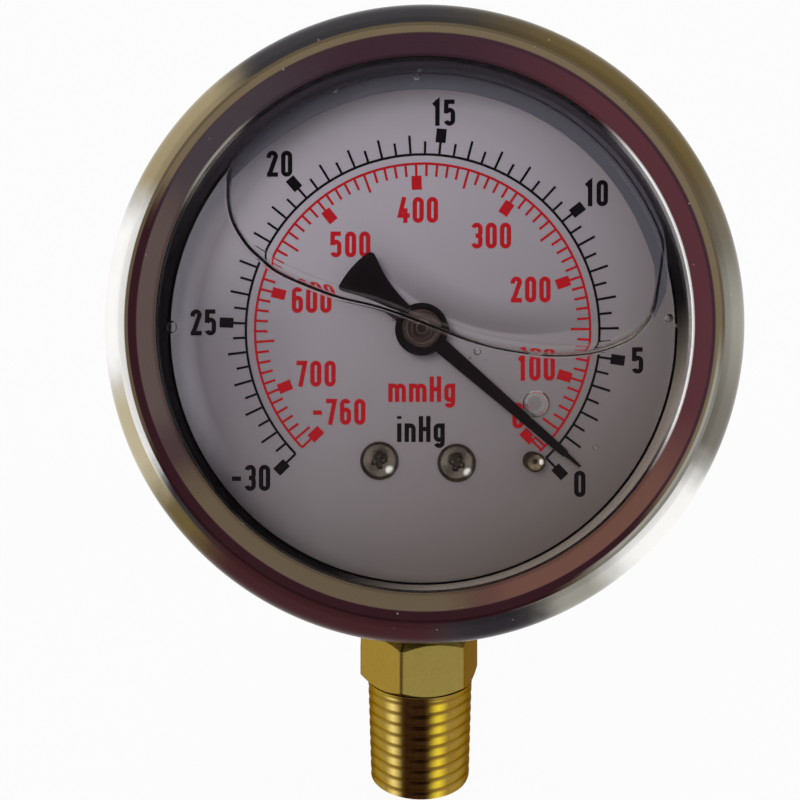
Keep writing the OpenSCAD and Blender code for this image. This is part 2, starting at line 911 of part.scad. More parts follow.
// Inner scale: a mark each 10 mmHg, longer at fifties, with a block at each hundred and at 760
module mmhg_scale() {
    short_r = inner_arc_r - 1.5;
    long_r = inner_arc_r - 2.3;
    block_r = inner_arc_r - 3.1;
    color([0.75, 0.05, 0.06])
    across(dial_y - print_t, dial_y)
        union() {
            scale_arc(inner_arc_r);
            for (v = concat([0], [for (w = [30 : 10 : 760]) w]))
                mark(mmhg_angle(v), (v % 50 == 0 && v % 100 != 0) ? long_r : short_r, inner_arc_r);
            for (v = [0, 100, 200, 300, 400, 500, 600, 700, 760])
                mark(mmhg_angle(v), block_r, short_r + 0.05, block_w);
        }
}

// Hexagonal posts that clamp the bottom plate to the socket and carry the dial
module dial_posts() {
    color("goldenrod")
    for (at = dial_post_places)
        difference() {
            union() {
                across(dial_back_y, bottom_front_y)
                    translate(at)
                        rotate(30)
                            circle(post_hex_r, $fn = 6);
                across(bottom_front_y - 0.1, bottom_plate_y + post_foot)
                    translate(at)
                        circle(dial_screw_r - 0.02);
            }
            across(dial_back_y - 1, dial_back_y + dial_screw_grip + loose)
                translate(at)
                    circle(dial_screw_r);
        }
}

module dial_screws() {
    color("silver")
    for (at = dial_post_places) {
        pan_head(at, dial_head_r, dial_head_h, dial_y);
        across(dial_y - 0.1, dial_back_y + dial_screw_grip)
            translate(at)
                circle(dial_screw_r - 0.02);
    }
}

// Pin that holds the pointer at zero
blade_half_at_stop = 0.42;
stop_r = outer_arc_r - 0.8;
stop_angle = scale_start - scale_sweep
    - asin((stop_head_d / 2 + blade_half_at_stop) / stop_r);
stop_at = polar(stop_r, stop_angle);

module stop_pin() {
    head_r = stop_head_d / 2;
    front = pointer_y - 0.7;
    color("goldenrod")
        about_line(stop_at)
            polygon(concat(
                [[0, dial_back_y + 0.5], [0.78, dial_back_y + 0.5], [0.78, dial_y],
                 [head_r, dial_y], [head_r, front + head_r * 0.55]],
                arc([0, front + head_r], head_r, -27, -90, 5)));
}

// Pointer

// Blade with a stepped tip, a disc round the hub and a fan-shaped counterweight
module pointer_outline() {
    step_r = pointer_length - 2.3;
    fan = 18;
    half_root = 0.95;
    fan_r = tail_length;
    waist = [-(disc_r - 0.4), 1.1];
    polygon([[0, -half_root], [step_r, -0.36], [step_r + 0.1, -0.2], [pointer_length, -0.1],
             [pointer_length, 0.1], [step_r + 0.1, 0.2], [step_r, 0.36], [0, half_root]]);
    circle(disc_r);
    polygon(concat(
        [[0, -waist[1]], [0, waist[1]], waist,
         [-(fan_r - 5), 1.75], [-(fan_r - 3), 2.5]],
        arc([0, 0], fan_r, 180 - fan, 180 + fan, 6),
        [[-(fan_r - 3), -2.5], [-(fan_r - 5), -1.75], [waist[0], -waist[1]]]));
}

module pointer() {
    color([0.04, 0.04, 0.04])
    across(pointer_y, pointer_y + pointer_t)
        rotate(rest_angle)
            difference() {
                pointer_outline();
                circle(1.3);
            }
}

// Turned bush pressed on the arbor, riveted through the pointer
module pointer_hub() {
    color([0.55, 0.52, 0.5])
    difference() {
        about_axis()
            polygon([[0, dial_y - 0.5], [1.6, dial_y - 0.5], [1.6, pointer_y + pointer_t],
                     [1.3, pointer_y + pointer_t], [1.3, pointer_y], [hub_r, pointer_y],
                     [hub_r, hub_y + 0.25], [hub_r - 0.25, hub_y], [0, hub_y]]);
        across(hub_y - 1, dial_y + 1) circle(arbor_r);
    }
}

case();
bezel();
window();
window_gasket();
fill_plug();
socket();
neck_o_ring();
socket_screws();
restrictor();
bourdon_tube();
tube_tip();
tip_pin();
link();
link_screw();
bottom_plate();
top_plate();
plate_posts();
plate_screws();
sector();
sector_arbor();
pinion();
hairspring_collet();
hairspring();
hairspring_stud();
dial();
inhg_scale();
mmhg_scale();
dial_posts();
dial_screws();
stop_pin();
pointer();
pointer_hub();
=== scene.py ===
"""Looks of a liquid-filled vacuum gauge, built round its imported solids.

All lengths in the dataclasses are millimetres in the part's own frame: the origin is the centre
of the stem's end face, +Z runs up the stem and the dial faces -Y.
"""

import json
import logging
import math
from dataclasses import dataclass
from enum import Enum
from typing import Iterable, Sequence

import bmesh
import bpy
import numpy as np
from mathutils import Matrix, Vector

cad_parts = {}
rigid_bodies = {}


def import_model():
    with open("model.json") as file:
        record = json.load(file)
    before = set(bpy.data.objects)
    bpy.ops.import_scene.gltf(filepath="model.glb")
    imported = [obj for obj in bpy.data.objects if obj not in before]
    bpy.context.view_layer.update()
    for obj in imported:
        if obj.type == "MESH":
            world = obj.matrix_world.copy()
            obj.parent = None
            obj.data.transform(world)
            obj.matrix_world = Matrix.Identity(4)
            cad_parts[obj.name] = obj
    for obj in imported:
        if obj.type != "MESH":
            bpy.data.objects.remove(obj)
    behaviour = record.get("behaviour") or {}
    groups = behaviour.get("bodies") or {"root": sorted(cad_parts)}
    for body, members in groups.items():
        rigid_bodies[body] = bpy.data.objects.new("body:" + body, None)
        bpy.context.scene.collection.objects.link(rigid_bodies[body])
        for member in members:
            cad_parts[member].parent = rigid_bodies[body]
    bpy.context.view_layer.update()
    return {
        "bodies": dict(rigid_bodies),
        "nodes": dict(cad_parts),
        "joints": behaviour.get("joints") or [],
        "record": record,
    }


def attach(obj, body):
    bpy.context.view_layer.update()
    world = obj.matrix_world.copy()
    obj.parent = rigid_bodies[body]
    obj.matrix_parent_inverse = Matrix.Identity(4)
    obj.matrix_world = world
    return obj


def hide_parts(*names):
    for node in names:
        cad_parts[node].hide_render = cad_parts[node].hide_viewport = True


log = logging.getLogger("gauge")

MM = 0.001
AXIS_HEIGHT = 59.4
DIAL_FACE = -10.6
WINDOW_FRONT = -18.0
WINDOW_BACK = -15.0
REST_ANGLE = -41.0
THREAD_PITCH = 25.4 / 18
THREAD_PHASE = 0.30

Point2 = tuple[float, float]
Point3 = tuple[float, float, float]
Colour = tuple[float, float, float]
Piece = bpy.types.Object
Mesh = bpy.types.Mesh
Material = bpy.types.Material
NodeTree = bpy.types.NodeTree
Socket = bpy.types.NodeSocket
Outputs = bpy.types.NodeOutputs


class Body(Enum):
    """Moving bodies that a piece can ride on."""

    HOUSING = "housing"
    POINTER = "pointer_arbor"


# ---------------------------------------------------------------------------------------------
# Mesh helpers
# ---------------------------------------------------------------------------------------------


def srgb(red: float, green: float, blue: float) -> Colour:
    """Turns a colour as the eye sees it into linear light.

    Args:
        red, green, blue: the channels, each from 0 to 255.

    Returns:
        The linear colour, each channel from 0 to 1.
    """

    def channel(value: float) -> float:
        """Linear value of one channel."""
        v = value / 255.0
        return v / 12.92 if v <= 0.04045 else ((v + 0.055) / 1.055) ** 2.4

    return (channel(red), channel(green), channel(blue))


def polar(radius: float, degrees: float) -> Point2:
    """Point at a radius and an angle, anticlockwise from the right as seen from the front."""
    a = math.radians(degrees)
    return (radius * math.cos(a), radius * math.sin(a))


def unit(vector: np.ndarray) -> np.ndarray:
    """Scales a vector to a length of 1."""
    return vector / np.linalg.norm(vector)


def leftward(direction: np.ndarray) -> np.ndarray:
    """Turns a direction by a quarter anticlockwise, as seen from the front."""
    return np.array((-direction[1], direction[0]))


def arc_points(centre: Point2, radius: float, start: float, end: float, steps: int) -> list[Point2]:
    """Points along an arc.

    Args:
        centre: the arc's middle.
        radius: its radius.
        start, end: the angles of its ends in degrees.
        steps: number of stretches between the points.

    Returns:
        The points, both ends among them.
    """
    turns = (polar(radius, start + (end - start) * i / steps) for i in range(steps + 1))
    return [(centre[0] + x, centre[1] + z) for x, z in turns]


def front_ring(centre: Point2, radius: float, y: float, steps: int) -> list[Point3]:
    """Points of a circle that faces the reader.

    Args:
        centre: its middle, from the gauge's axis.
        radius: its radius.
        y: its depth.
        steps: number of points.

    Returns:
        The points, anticlockwise from the right.
    """
    turns = (polar(radius, 360 * i / steps) for i in range(steps))
    return [(centre[0] + x, y, AXIS_HEIGHT + centre[1] + z) for x, z in turns]


def add_object(name: str, data: bpy.types.ID | None) -> Piece:
    """Makes an object of a mesh, a camera or a lamp, and links it to the scene."""
    obj = bpy.data.objects.new(name, data)
    bpy.context.scene.collection.objects.link(obj)
    return obj


class MeshMaker:
    """Gathers vertices and faces in millimetres, and turns them into a Blender object."""

    def __init__(self, name: str) -> None:
        """Starts an empty mesh with that name."""
        self.name = name
        self.verts: list[Point3] = []
        self.faces: list[tuple[int, ...]] = []

    def vert(self, x: float, y: float, z: float) -> int:
        """Adds a vertex and returns its number."""
        self.verts.append((x, y, z))
        return len(self.verts) - 1

    def loop(self, points: Iterable[Point3]) -> list[int]:
        """Adds a row of vertices and returns their numbers."""
        return [self.vert(*p) for p in points]

    def bridge(self, first: Sequence[int], second: Sequence[int], closed: bool = True) -> None:
        """Joins two rows with quads.

        Args:
            first, second: rows of the same length.
            closed: joins the rows' ends too.
        """
        n = len(first)
        for i in range(n if closed else n - 1):
            j = (i + 1) % n
            self.faces.append((first[i], first[j], second[j], second[i]))

    def sweep(self, rows: Sequence[Sequence[int]], closed: bool = True) -> None:
        """Joins each row to the next one."""
        for first, second in zip(rows, rows[1:]):
            self.bridge(first, second, closed)

    def cap(self, row: Sequence[int], flip: bool = False) -> None:
        """Closes a row with one polygon."""
        self.faces.append(tuple(reversed(row)) if flip else tuple(row))

    def tube(self, rows: Sequence[Sequence[int]]) -> None:
        """Joins the rows and closes both ends."""
        self.cap(rows[0])
        self.sweep(rows)
        self.cap(rows[-1], flip=True)

    def raw(self) -> Piece:
        """Makes the object with flat faces that look the way they were made."""
        mesh = bpy.data.meshes.new(self.name)
        mesh.from_pydata([(x * MM, y * MM, z * MM) for x, y, z in self.verts], [], self.faces)
        mesh.validate()
        return add_object(self.name, mesh)

    def build(self, smooth: float | None = 40.0) -> Piece:
        """Makes the object with its faces turned outward.

        Args:
            smooth: edges sharper than this many degrees stay sharp; None leaves flat faces.

        Returns:
            The new object, linked to the scene.
        """
        obj = self.raw()
        tidy_normals(obj)
        if smooth is not None:
            shade_smooth(obj, smooth)
        return obj


def tidy_normals(obj: Piece) -> None:
    """Makes an object's face normals agree and point outward."""
    bm = bmesh.new()
    bm.from_mesh(obj.data)
    bmesh.ops.recalc_face_normals(bm, faces=bm.faces)
    bm.to_mesh(obj.data)
    bm.free()


def shade_smooth(obj: Piece, degrees: float) -> None:
    """Shades an object smooth, with creases at edges sharper than an angle."""
    mesh = obj.data
    mesh.shade_smooth()
    mesh.set_sharp_from_angle(angle=math.radians(degrees))


def lathe(
    name: str,
    profile: Sequence[Point2],
    centre: Point2 = (0.0, 0.0),
    segments: int = 192,
    smooth: float = 35.0,
) -> Piece:
    """Turns a closed profile of (radius, y) about a line parallel to the gauge's axis.

    Args:
        name: the object's name.
        profile: corners of the section; a radius of 0 lies on the line.
        centre: the line's (x, height above the gauge's axis).
        segments: number of steps round.
        smooth: crease angle in degrees.

    Returns:
        The turned object.
    """
    maker = MeshMaker(name)
    rows: list[list[int]] = []
    for radius, y in profile:
        if radius == 0.0:
            rows.append([maker.vert(centre[0], y, AXIS_HEIGHT + centre[1])] * segments)
        else:
            rows.append(maker.loop(front_ring(centre, radius, y, segments)))
    for k, row in enumerate(rows):
        after = rows[(k + 1) % len(rows)]
        if row[0] == row[1] and after[0] == after[1]:
            continue
        for i in range(segments):
            j = (i + 1) % segments
            corners = [row[i], row[j], after[j], after[i]]
            face = tuple(v for n, v in enumerate(corners) if v != corners[n - 1])
            if len(set(face)) >= 3:
                maker.faces.append(face)
    return maker.build(smooth)


def bevel(obj: Piece, width: float, segments: int, degrees: float) -> None:
    """Rounds an object's sharp edges and applies the result to its mesh.

    Args:
        obj: the object.
        width: the round's width in millimetres.
        segments: number of steps across the round.
        degrees: edges sharper than this are rounded.
    """
    modifier = obj.modifiers.new("edge_round", "BEVEL")
    modifier.width = width * MM
    modifier.segments = segments
    modifier.limit_method = "ANGLE"
    modifier.angle_limit = math.radians(degrees)
    modifier.harden_normals = False
    depsgraph = bpy.context.evaluated_depsgraph_get()
    swap_mesh(obj, bpy.data.meshes.new_from_object(obj.evaluated_get(depsgraph)))


def swap_mesh(obj: Piece, mesh: Mesh) -> None:
    """Gives an object another mesh, drops its modifiers and deletes the old mesh."""
    old = obj.data
    obj.modifiers.clear()
    obj.data = mesh
    bpy.data.meshes.remove(old)


def dress(obj: Piece, material: Material) -> Piece:
    """Gives an object one material and returns it."""
    obj.data.materials.clear()
    obj.data.materials.append(material)
    return obj


# ---------------------------------------------------------------------------------------------
# Shader node groups
# ---------------------------------------------------------------------------------------------


class NodeBench:
    """Places and joins nodes in one node tree."""

    def __init__(self, tree: NodeTree) -> None:
        """Takes the tree to work in."""
        self.tree = tree

    def node(self, kind: str, **values: object) -> bpy.types.Node:
        """Adds a node, sets its properties and returns it."""
        made = self.tree.nodes.new(kind)
        for key, value in values.items():
            setattr(made, key, value)
        return made

    def link(self, source: Socket, target: Socket) -> None:
        """Joins two sockets."""
        self.tree.links.new(source, target)

    def give(self, value: object, socket: Socket) -> None:
        """Gives an input what it takes.

        Args:
            value: a socket to join, a colour or a number.
            socket: the input.
        """
        if isinstance(value, Socket):
            self.link(value, socket)
        elif isinstance(value, tuple):
            socket.default_value = (*value, 1.0)
        else:
            socket.default_value = value

    def maths(self, operation: str, *values: object) -> Socket:
        """Adds a Math node.

        Args:
            operation: its operation.
            values: sockets or numbers for its inputs.

        Returns:
            Its result.
        """
        made = self.node("ShaderNodeMath", operation=operation)
        for value, socket in zip(values, made.inputs):
            self.give(value, socket)
        return made.outputs[0]

    def times(self, first: object, second: object) -> Socket:
        """Multiplies two sockets or numbers."""
        return self.maths("MULTIPLY", first, second)

    def length(self, first: object, second: object) -> Socket:
        """Length of the long side of a right-angled triangle, from its two short ones."""
        return self.maths("SQRT", self.maths("ADD", self.times(first, first),
                                             self.times(second, second)))

    def bearing(self, rise: object, run: object) -> Socket:
        """Angle of a direction as a share of a full turn, from -0.5 to 0.5."""
        return self.maths("DIVIDE", self.maths("ARCTAN2", rise, run), math.tau)

    def position(self) -> Outputs:
        """Gives the outputs X, Y and Z of where a point lies in the part's frame."""
        split = self.node("ShaderNodeSeparateXYZ")
        self.link(self.node("ShaderNodeTexCoord").outputs["Object"], split.inputs["Vector"])
        return split.outputs

    def spread(self, source: Socket, low: float, high: float, to_low: float,
               to_high: float, curve: str = "LINEAR") -> Socket:
        """Maps a value's range onto another range, clamped.

        Args:
            source: the value.
            low, high: the range that it comes from.
            to_low, to_high: what the range's ends become.
            curve: how the values between them run.

        Returns:
            The mapped value.
        """
        made = self.node("ShaderNodeMapRange", interpolation_type=curve)
        for value, socket in zip((source, low, high, to_low, to_high), made.inputs):
            self.give(value, socket)
        return made.outputs["Result"]

    def mix(self, factor: object, first: object, second: object) -> Socket:
        """Mixes two colours.

        Args:
            factor: share of the second one, a socket or a number.
            first, second: the colours, or sockets.

        Returns:
            The mixed colour.
        """
        made = self.node("ShaderNodeMix", data_type="RGBA")
        for value, socket in zip((factor, first, second),
                                 (made.inputs["Factor"], made.inputs[6], made.inputs[7])):
            self.give(value, socket)
        return made.outputs[2]

    def choose(self, factor: object, first: Socket, second: Socket) -> Socket:
        """Mixes two shaders.

        Args:
            factor: share of the second one.
            first, second: the shaders.

        Returns:
            The mixed shader.
        """
        made = self.node("ShaderNodeMixShader")
        for value, socket in zip((factor, first, second), made.inputs):
            self.give(value, socket)
        return made.outputs["Shader"]


class NodeGroup(NodeBench):
    """Builds one shader node group with named sockets."""

    def __init__(self, name: str, takes: dict[str, float], gives: Sequence[str]) -> None:
        """Starts a group.

        Args:
            name: the group's name.
            takes: its inputs and their own values.
            gives: its outputs.
        """
        super().__init__(bpy.data.node_groups.new(name, "ShaderNodeTree"))
        self.inputs = self.node("NodeGroupInput").outputs
        outputs = self.node("NodeGroupOutput")
        for title, value in takes.items():
            self._socket(title, "INPUT").default_value = value
        for title in gives:
            self._socket(title, "OUTPUT")
        self.outputs = outputs.inputs

    def _socket(self, title: str, side: str) -> bpy.types.NodeTreeInterfaceSocket:
        """Adds one socket that holds a number."""
        return self.tree.interface.new_socket(name=title, in_out=side,
                                              socket_type="NodeSocketFloat")


class GroupLibrary:
    """Node groups that several finishes share, each built once."""

    def __init__(self) -> None:
        """Builds every group."""
        self.grain = self._grain()
        self.turning = self._turning()
        self.specks = self._specks()
        self.reading = self._reading()
        self.patch = self._patch()
        self.ridge = self._ridge()

    @staticmethod
    def _grain() -> NodeTree:
        """Fine uneven grain: a mottling value and a height."""
        g = NodeGroup("fine_grain", {"Scale": 800.0, "Contrast": 0.3}, ("Value", "Height"))
        place = g.node("ShaderNodeTexCoord").outputs["Object"]
        noises = []
        for detail, scale in ((6.0, g.inputs["Scale"]), (3.0, g.times(g.inputs["Scale"], 6.0))):
            noise = g.node("ShaderNodeTexNoise")
            noise.inputs["Detail"].default_value = detail
            g.link(place, noise.inputs["Vector"])
            g.link(scale, noise.inputs["Scale"])
            noises.append(noise.outputs["Fac"])
        centred = g.maths("SUBTRACT", noises[0], 0.5)
        g.link(g.maths("ADD", g.times(centred, g.inputs["Contrast"]), 0.5), g.outputs["Value"])
        g.link(noises[1], g.outputs["Height"])
        return g.tree

    @staticmethod
    def _turning() -> NodeTree:
        """Tool lines round an axis. Takes the radius or height that the lines follow."""
        g = NodeGroup("turning_lines", {"Along": 0.0, "Lines per metre": 6000.0},
                      ("Value", "Height"))
        combine = g.node("ShaderNodeCombineXYZ")
        g.link(g.inputs["Along"], combine.inputs["X"])
        noise = g.node("ShaderNodeTexNoise")
        noise.inputs["Detail"].default_value = 2.0
        g.link(combine.outputs["Vector"], noise.inputs["Vector"])
        g.link(g.inputs["Lines per metre"], noise.inputs["Scale"])
        g.link(noise.outputs["Fac"], g.outputs["Value"])
        wave = g.maths("SINE", g.times(g.inputs["Along"],
                                       g.times(g.inputs["Lines per metre"], math.tau)))
        g.link(g.maths("ADD", g.times(wave, 0.35), noise.outputs["Fac"]), g.outputs["Height"])
        return g.tree

    @staticmethod
    def _specks() -> NodeTree:
        """Mask of small specks: 1 on a speck and 0 elsewhere."""
        g = NodeGroup("specks", {"Scale": 900.0, "Amount": 0.1}, ("Mask",))
        cells = g.node("ShaderNodeTexVoronoi")
        g.link(g.node("ShaderNodeTexCoord").outputs["Object"], cells.inputs["Vector"])
        g.link(g.inputs["Scale"], cells.inputs["Scale"])
        pick = g.node("ShaderNodeSeparateColor")
        g.link(cells.outputs["Color"], pick.inputs["Color"])
        chosen = g.maths("LESS_THAN", pick.outputs["Red"], g.inputs["Amount"])
        small = g.maths("LESS_THAN", cells.outputs["Distance"],
                        g.times(pick.outputs["Green"], 0.35))
        g.link(g.times(chosen, small), g.outputs["Mask"])
        return g.tree

    @staticmethod
    def _reading() -> NodeTree:
        """Where a point lies round the gauge's axis: its radius, and its angle as 0 to 1."""
        g = NodeGroup("place_round_axis", {"Axis height": AXIS_HEIGHT * MM}, ("Radius", "Angle"))
        place = g.position()
        rise = g.maths("SUBTRACT", place["Z"], g.inputs["Axis height"])
        g.link(g.length(place["X"], rise), g.outputs["Radius"])
        turn = g.maths("ADD", g.bearing(rise, place["X"]), 1.0)
        g.link(g.maths("FRACT", turn), g.outputs["Angle"])
        return g.tree

    @staticmethod
    def _patch() -> NodeTree:
        """Mask of a soft-edged patch: round an axis by angle, and across by radius or height."""
        g = NodeGroup("soft_patch", {"Across": 0.0, "Turn": 0.0, "Middle": 0.0, "Half": 0.1,
                                     "Soft": 0.02, "Inner": 0.0, "Outer": 1.0,
                                     "Blend": 0.0001}, ("Mask",))
        given = g.inputs

        def rising(value: Socket, width: Socket) -> Socket:
            """Smooth step from 0 to 1 through 0, over that width."""
            t = g.maths("ADD", g.maths("DIVIDE", value, width), 0.5)
            t = g.maths("MINIMUM", g.maths("MAXIMUM", t, 0.0), 1.0)
            return g.times(g.times(t, t), g.maths("SUBTRACT", 3.0, g.times(t, 2.0)))

        shifted = g.maths("ADD", g.maths("SUBTRACT", given["Turn"], given["Middle"]), 1.5)
        away = g.maths("ABSOLUTE", g.maths("SUBTRACT", g.maths("FRACT", shifted), 0.5))
        around = rising(g.maths("SUBTRACT", given["Half"], away), given["Soft"])
        inside = rising(g.maths("SUBTRACT", given["Across"], given["Inner"]), given["Blend"])
        outside = rising(g.maths("SUBTRACT", given["Outer"], given["Across"]), given["Blend"])
        g.link(g.times(around, g.times(inside, outside)), g.outputs["Mask"])
        return g.tree

    @staticmethod
    def _ridge() -> NodeTree:
        """Thread about the upright axis: 1 on its ridge and 0 in its groove, and the bearing."""
        g = NodeGroup("thread_ridge", {"Pitch": 0.0014, "Phase": 0.0},
                      ("Ridge", "Bearing", "Height"))
        place = g.position()
        turns = g.maths("SUBTRACT", g.maths("DIVIDE", place["Z"], g.inputs["Pitch"]),
                        g.bearing(place["Y"], place["X"]))
        along = g.maths("ADD", turns, g.inputs["Phase"])
        wave = g.maths("COSINE", g.times(along, math.tau))
        g.link(g.maths("ADD", g.times(wave, 0.5), 0.5), g.outputs["Ridge"])
        g.link(g.bearing(place["X"], g.times(place["Y"], -1.0)), g.outputs["Bearing"])
        g.link(place["Z"], g.outputs["Height"])
        return g.tree


# ---------------------------------------------------------------------------------------------
# Finishes
# ---------------------------------------------------------------------------------------------


class MaterialMaker(NodeBench):
    """Builds one material round a Principled BSDF."""

    def __init__(self, name: str, groups: GroupLibrary | None = None) -> None:
        """Starts the material, with the node groups that it may place."""
        self.groups = groups
        self.material = bpy.data.materials.new(name)
        self.material.use_nodes = True
        super().__init__(self.material.node_tree)
        self.shader = self.tree.nodes["Principled BSDF"]
        self.output = self.tree.nodes["Material Output"]

    def set(self, **values: object) -> None:
        """Sets constant sockets of the Principled BSDF, with _ for a space."""
        for key, value in values.items():
            self.give(value, self.shader.inputs[key.replace("_", " ")])

    def feed(self, source: Socket, socket: str) -> None:
        """Joins a socket to an input of the Principled BSDF."""
        self.link(source, self.shader.inputs[socket])

    def fade(self, source: Socket, ends: Point2, start: float, finish: float) -> Socket:
        """Fades from one value to another along a length.

        Args:
            source: the length.
            ends: where the fade starts and ends, in millimetres.
            start, finish: the values at its ends.

        Returns:
            The value.
        """
        return self.spread(source, ends[0] * MM, ends[1] * MM, start, finish)

    def group(self, tree: NodeTree, **values: object) -> Outputs:
        """Places a node group.

        Args:
            tree: the group.
            values: sockets or numbers for its inputs, with _ for a space.

        Returns:
            Its outputs.
        """
        made = self.node("ShaderNodeGroup", node_tree=tree)
        for key, value in values.items():
            self.give(value, made.inputs[key.replace("_", " ")])
        return made.outputs

    def grain(self, scale: float, contrast: float = 1.0) -> Outputs:
        """Places the fine grain and gives its Value and Height."""
        return self.group(self.groups.grain, Scale=scale, Contrast=contrast)

    def turning(self, along: Socket, lines: float) -> Outputs:
        """Places tool lines that follow a radius or height, and gives their Value and Height."""
        return self.group(self.groups.turning, Along=along, Lines_per_metre=lines)

    def mottle(self, grain: Socket, share: float, first: object, second: object) -> Socket:
        """Mottles a colour with another one.

        Args:
            grain: the grain's value.
            share: share of the second colour where the grain is high.
            first, second: the colours, or sockets.

        Returns:
            The colour.
        """
        return self.mix(self.spread(grain, 0.3, 0.7, 0.0, share), first, second)

    def ramp(self, source: Socket, stops: Sequence[tuple[float, Colour]]) -> Socket:
        """Adds a colour ramp.

        Args:
            source: the value that it follows, from 0 to 1.
            stops: its places and their colours.

        Returns:
            The colour.
        """
        made = self.node("ShaderNodeValToRGB")
        made.color_ramp.interpolation = "EASE"
        elements = made.color_ramp.elements
        while len(elements) > 1:
            elements.remove(elements[-1])
        elements[0].position = stops[0][0]
        elements[0].color = (*stops[0][1], 1.0)
        for position, colour in stops[1:]:
            elements.new(position).color = (*colour, 1.0)
        self.link(source, made.inputs["Fac"])
        return made.outputs["Color"]

    def rough(self, grain: Socket, smooth: float, dull: float,
              low: float = 0.3, high: float = 0.7) -> None:
        """Lets the shader's roughness follow a grain.

        Args:
            grain: the grain's value.
            smooth, dull: the least and the most roughness.
            low, high: the values of the grain that they belong to.
        """
        self.feed(self.spread(grain, low, high, smooth, dull), "Roughness")

    def bump(self, height: Socket, distance: float, strength: float) -> None:
        """Feeds a height to the shader's normal.

        Args:
            height: the height.
            distance: what a height of 1 stands for, in millimetres.
            strength: share of the effect.
        """
        made = self.node("ShaderNodeBump")
        made.inputs["Strength"].default_value = strength
        made.inputs["Distance"].default_value = distance * MM
        self.link(height, made.inputs["Height"])
        self.feed(made.outputs["Normal"], "Normal")


class Tone(Enum):
    """Painted reflections: tones that polished steel and brass take from a dim room with a window
    at the left, laid into their colour; GLARE is a painted highlight.
    """

    GLARE = srgb(255, 253, 250)
    SILVER = srgb(156, 153, 143)
    KHAKI = srgb(164, 149, 116)
    BRONZE = srgb(116, 102, 80)
    OLIVE = srgb(106, 90, 56)
    STEEL = srgb(64, 62, 64)
    PLUM = srgb(62, 41, 50)
    HEATHER = srgb(69, 61, 66)
    CLARET = srgb(87, 49, 56)
    UMBER = srgb(92, 78, 74)
    DRAB = srgb(102, 88, 70)
    BRICK = srgb(110, 76, 66)
    MAROON = srgb(51, 27, 32)
    WINE = srgb(68, 37, 40)
    SLATE = srgb(47, 43, 48)
    PEWTER = srgb(121, 117, 108)
    SAND = srgb(192, 180, 150)
    SOOT = srgb(20, 14, 17)
    GOLD = srgb(162, 134, 60)
    OCHRE = srgb(148, 116, 46)
    PALE = srgb(252, 224, 130)
    LEMON = srgb(240, 210, 58)
    COCOA = srgb(42, 18, 10)
    BISTRE = srgb(122, 94, 52)
    MOSS = srgb(153, 135, 70)


@dataclass(frozen=True)
class Patch:
    """A soft patch of one tone.

    Its middle, half width and soft edge are in degrees, and its limits across in millimetres.
    """

    tone: Tone
    middle: float
    half: float
    soft: float
    inner: float
    outer: float
    blend: float = 0.12

    def mask(self, m: MaterialMaker, across: Socket, turn: Socket) -> Socket:
        """Places the patch's mask.

        Args:
            m: the material.
            across: a point's radius or height.
            turn: a point's angle as a share of a full turn.

        Returns:
            The mask, 1 inside the patch.
        """
        return m.group(m.groups.patch, Across=across, Turn=turn, Middle=self.middle / 360,
                       Half=self.half / 360, Soft=self.soft / 180, Inner=self.inner * MM,
                       Outer=self.outer * MM, Blend=self.blend * MM)["Mask"]


def dim(colour: Colour, share: float) -> Colour:
    """Darkens a colour to a share of itself."""
    return tuple(c * share for c in colour)


@dataclass(frozen=True)
class Finish:
    """What every finish has: a name, and a way to lay it."""

    name: str

    def build(self, groups: GroupLibrary) -> Material:
        """Makes the material.

        Args:
            groups: the shared node groups.

        Returns:
            The material.
        """
        m = MaterialMaker(self.name, groups)
        self.lay(m)
        return m.material

    def lay(self, m: MaterialMaker) -> None:
        """Gives a material the finish's nodes and values."""
        raise NotImplementedError


@dataclass(frozen=True)
class GrainFinish(Finish):
    """Surface of one colour with a fine grain. The bump is in millimetres."""

    colour: Colour
    roughness: float
    contrast: float
    scale: float
    bump: float

    def grained(self, m: MaterialMaker, smooth: float, dull: float, strength: float) -> None:
        """Feeds the grain to a material's colour, roughness and bump.

        Args:
            m: the material.
            smooth, dull: factors on the roughness where the grain is least and most.
            strength: share of the bump.
        """
        grain = m.grain(self.scale)
        m.feed(m.mix(grain["Value"], dim(self.colour, 1 - self.contrast), self.colour),
               "Base Color")
        m.rough(grain["Value"], self.roughness * smooth, self.roughness * dull, 0.2, 0.8)
        m.bump(grain["Height"], self.bump, strength)


@dataclass(frozen=True)
class SteelFinish(GrainFinish):
    """Plain metal with fine grain, such as a screw or the case."""

    roughness: float = 0.3
    contrast: float = 0.25
    scale: float = 900.0
    bump: float = 0.004

    def lay(self, m: MaterialMaker) -> None:
        """Lays the metal."""
        m.set(Metallic=1.0)
        self.grained(m, 0.8, 1.25, 0.5)


@dataclass(frozen=True)
class CoatedFinish(GrainFinish):
    """Paint, print, plastic or rubber with a little grain."""

    roughness: float = 0.5
    contrast: float = 0.15
    scale: float = 600.0
    bump: float = 0.01
    specular: float = 0.5

    def lay(self, m: MaterialMaker) -> None:
        """Lays the coat."""
        m.set(Specular_IOR_Level=self.specular)
        self.grained(m, 0.85, 1.1, 0.4)


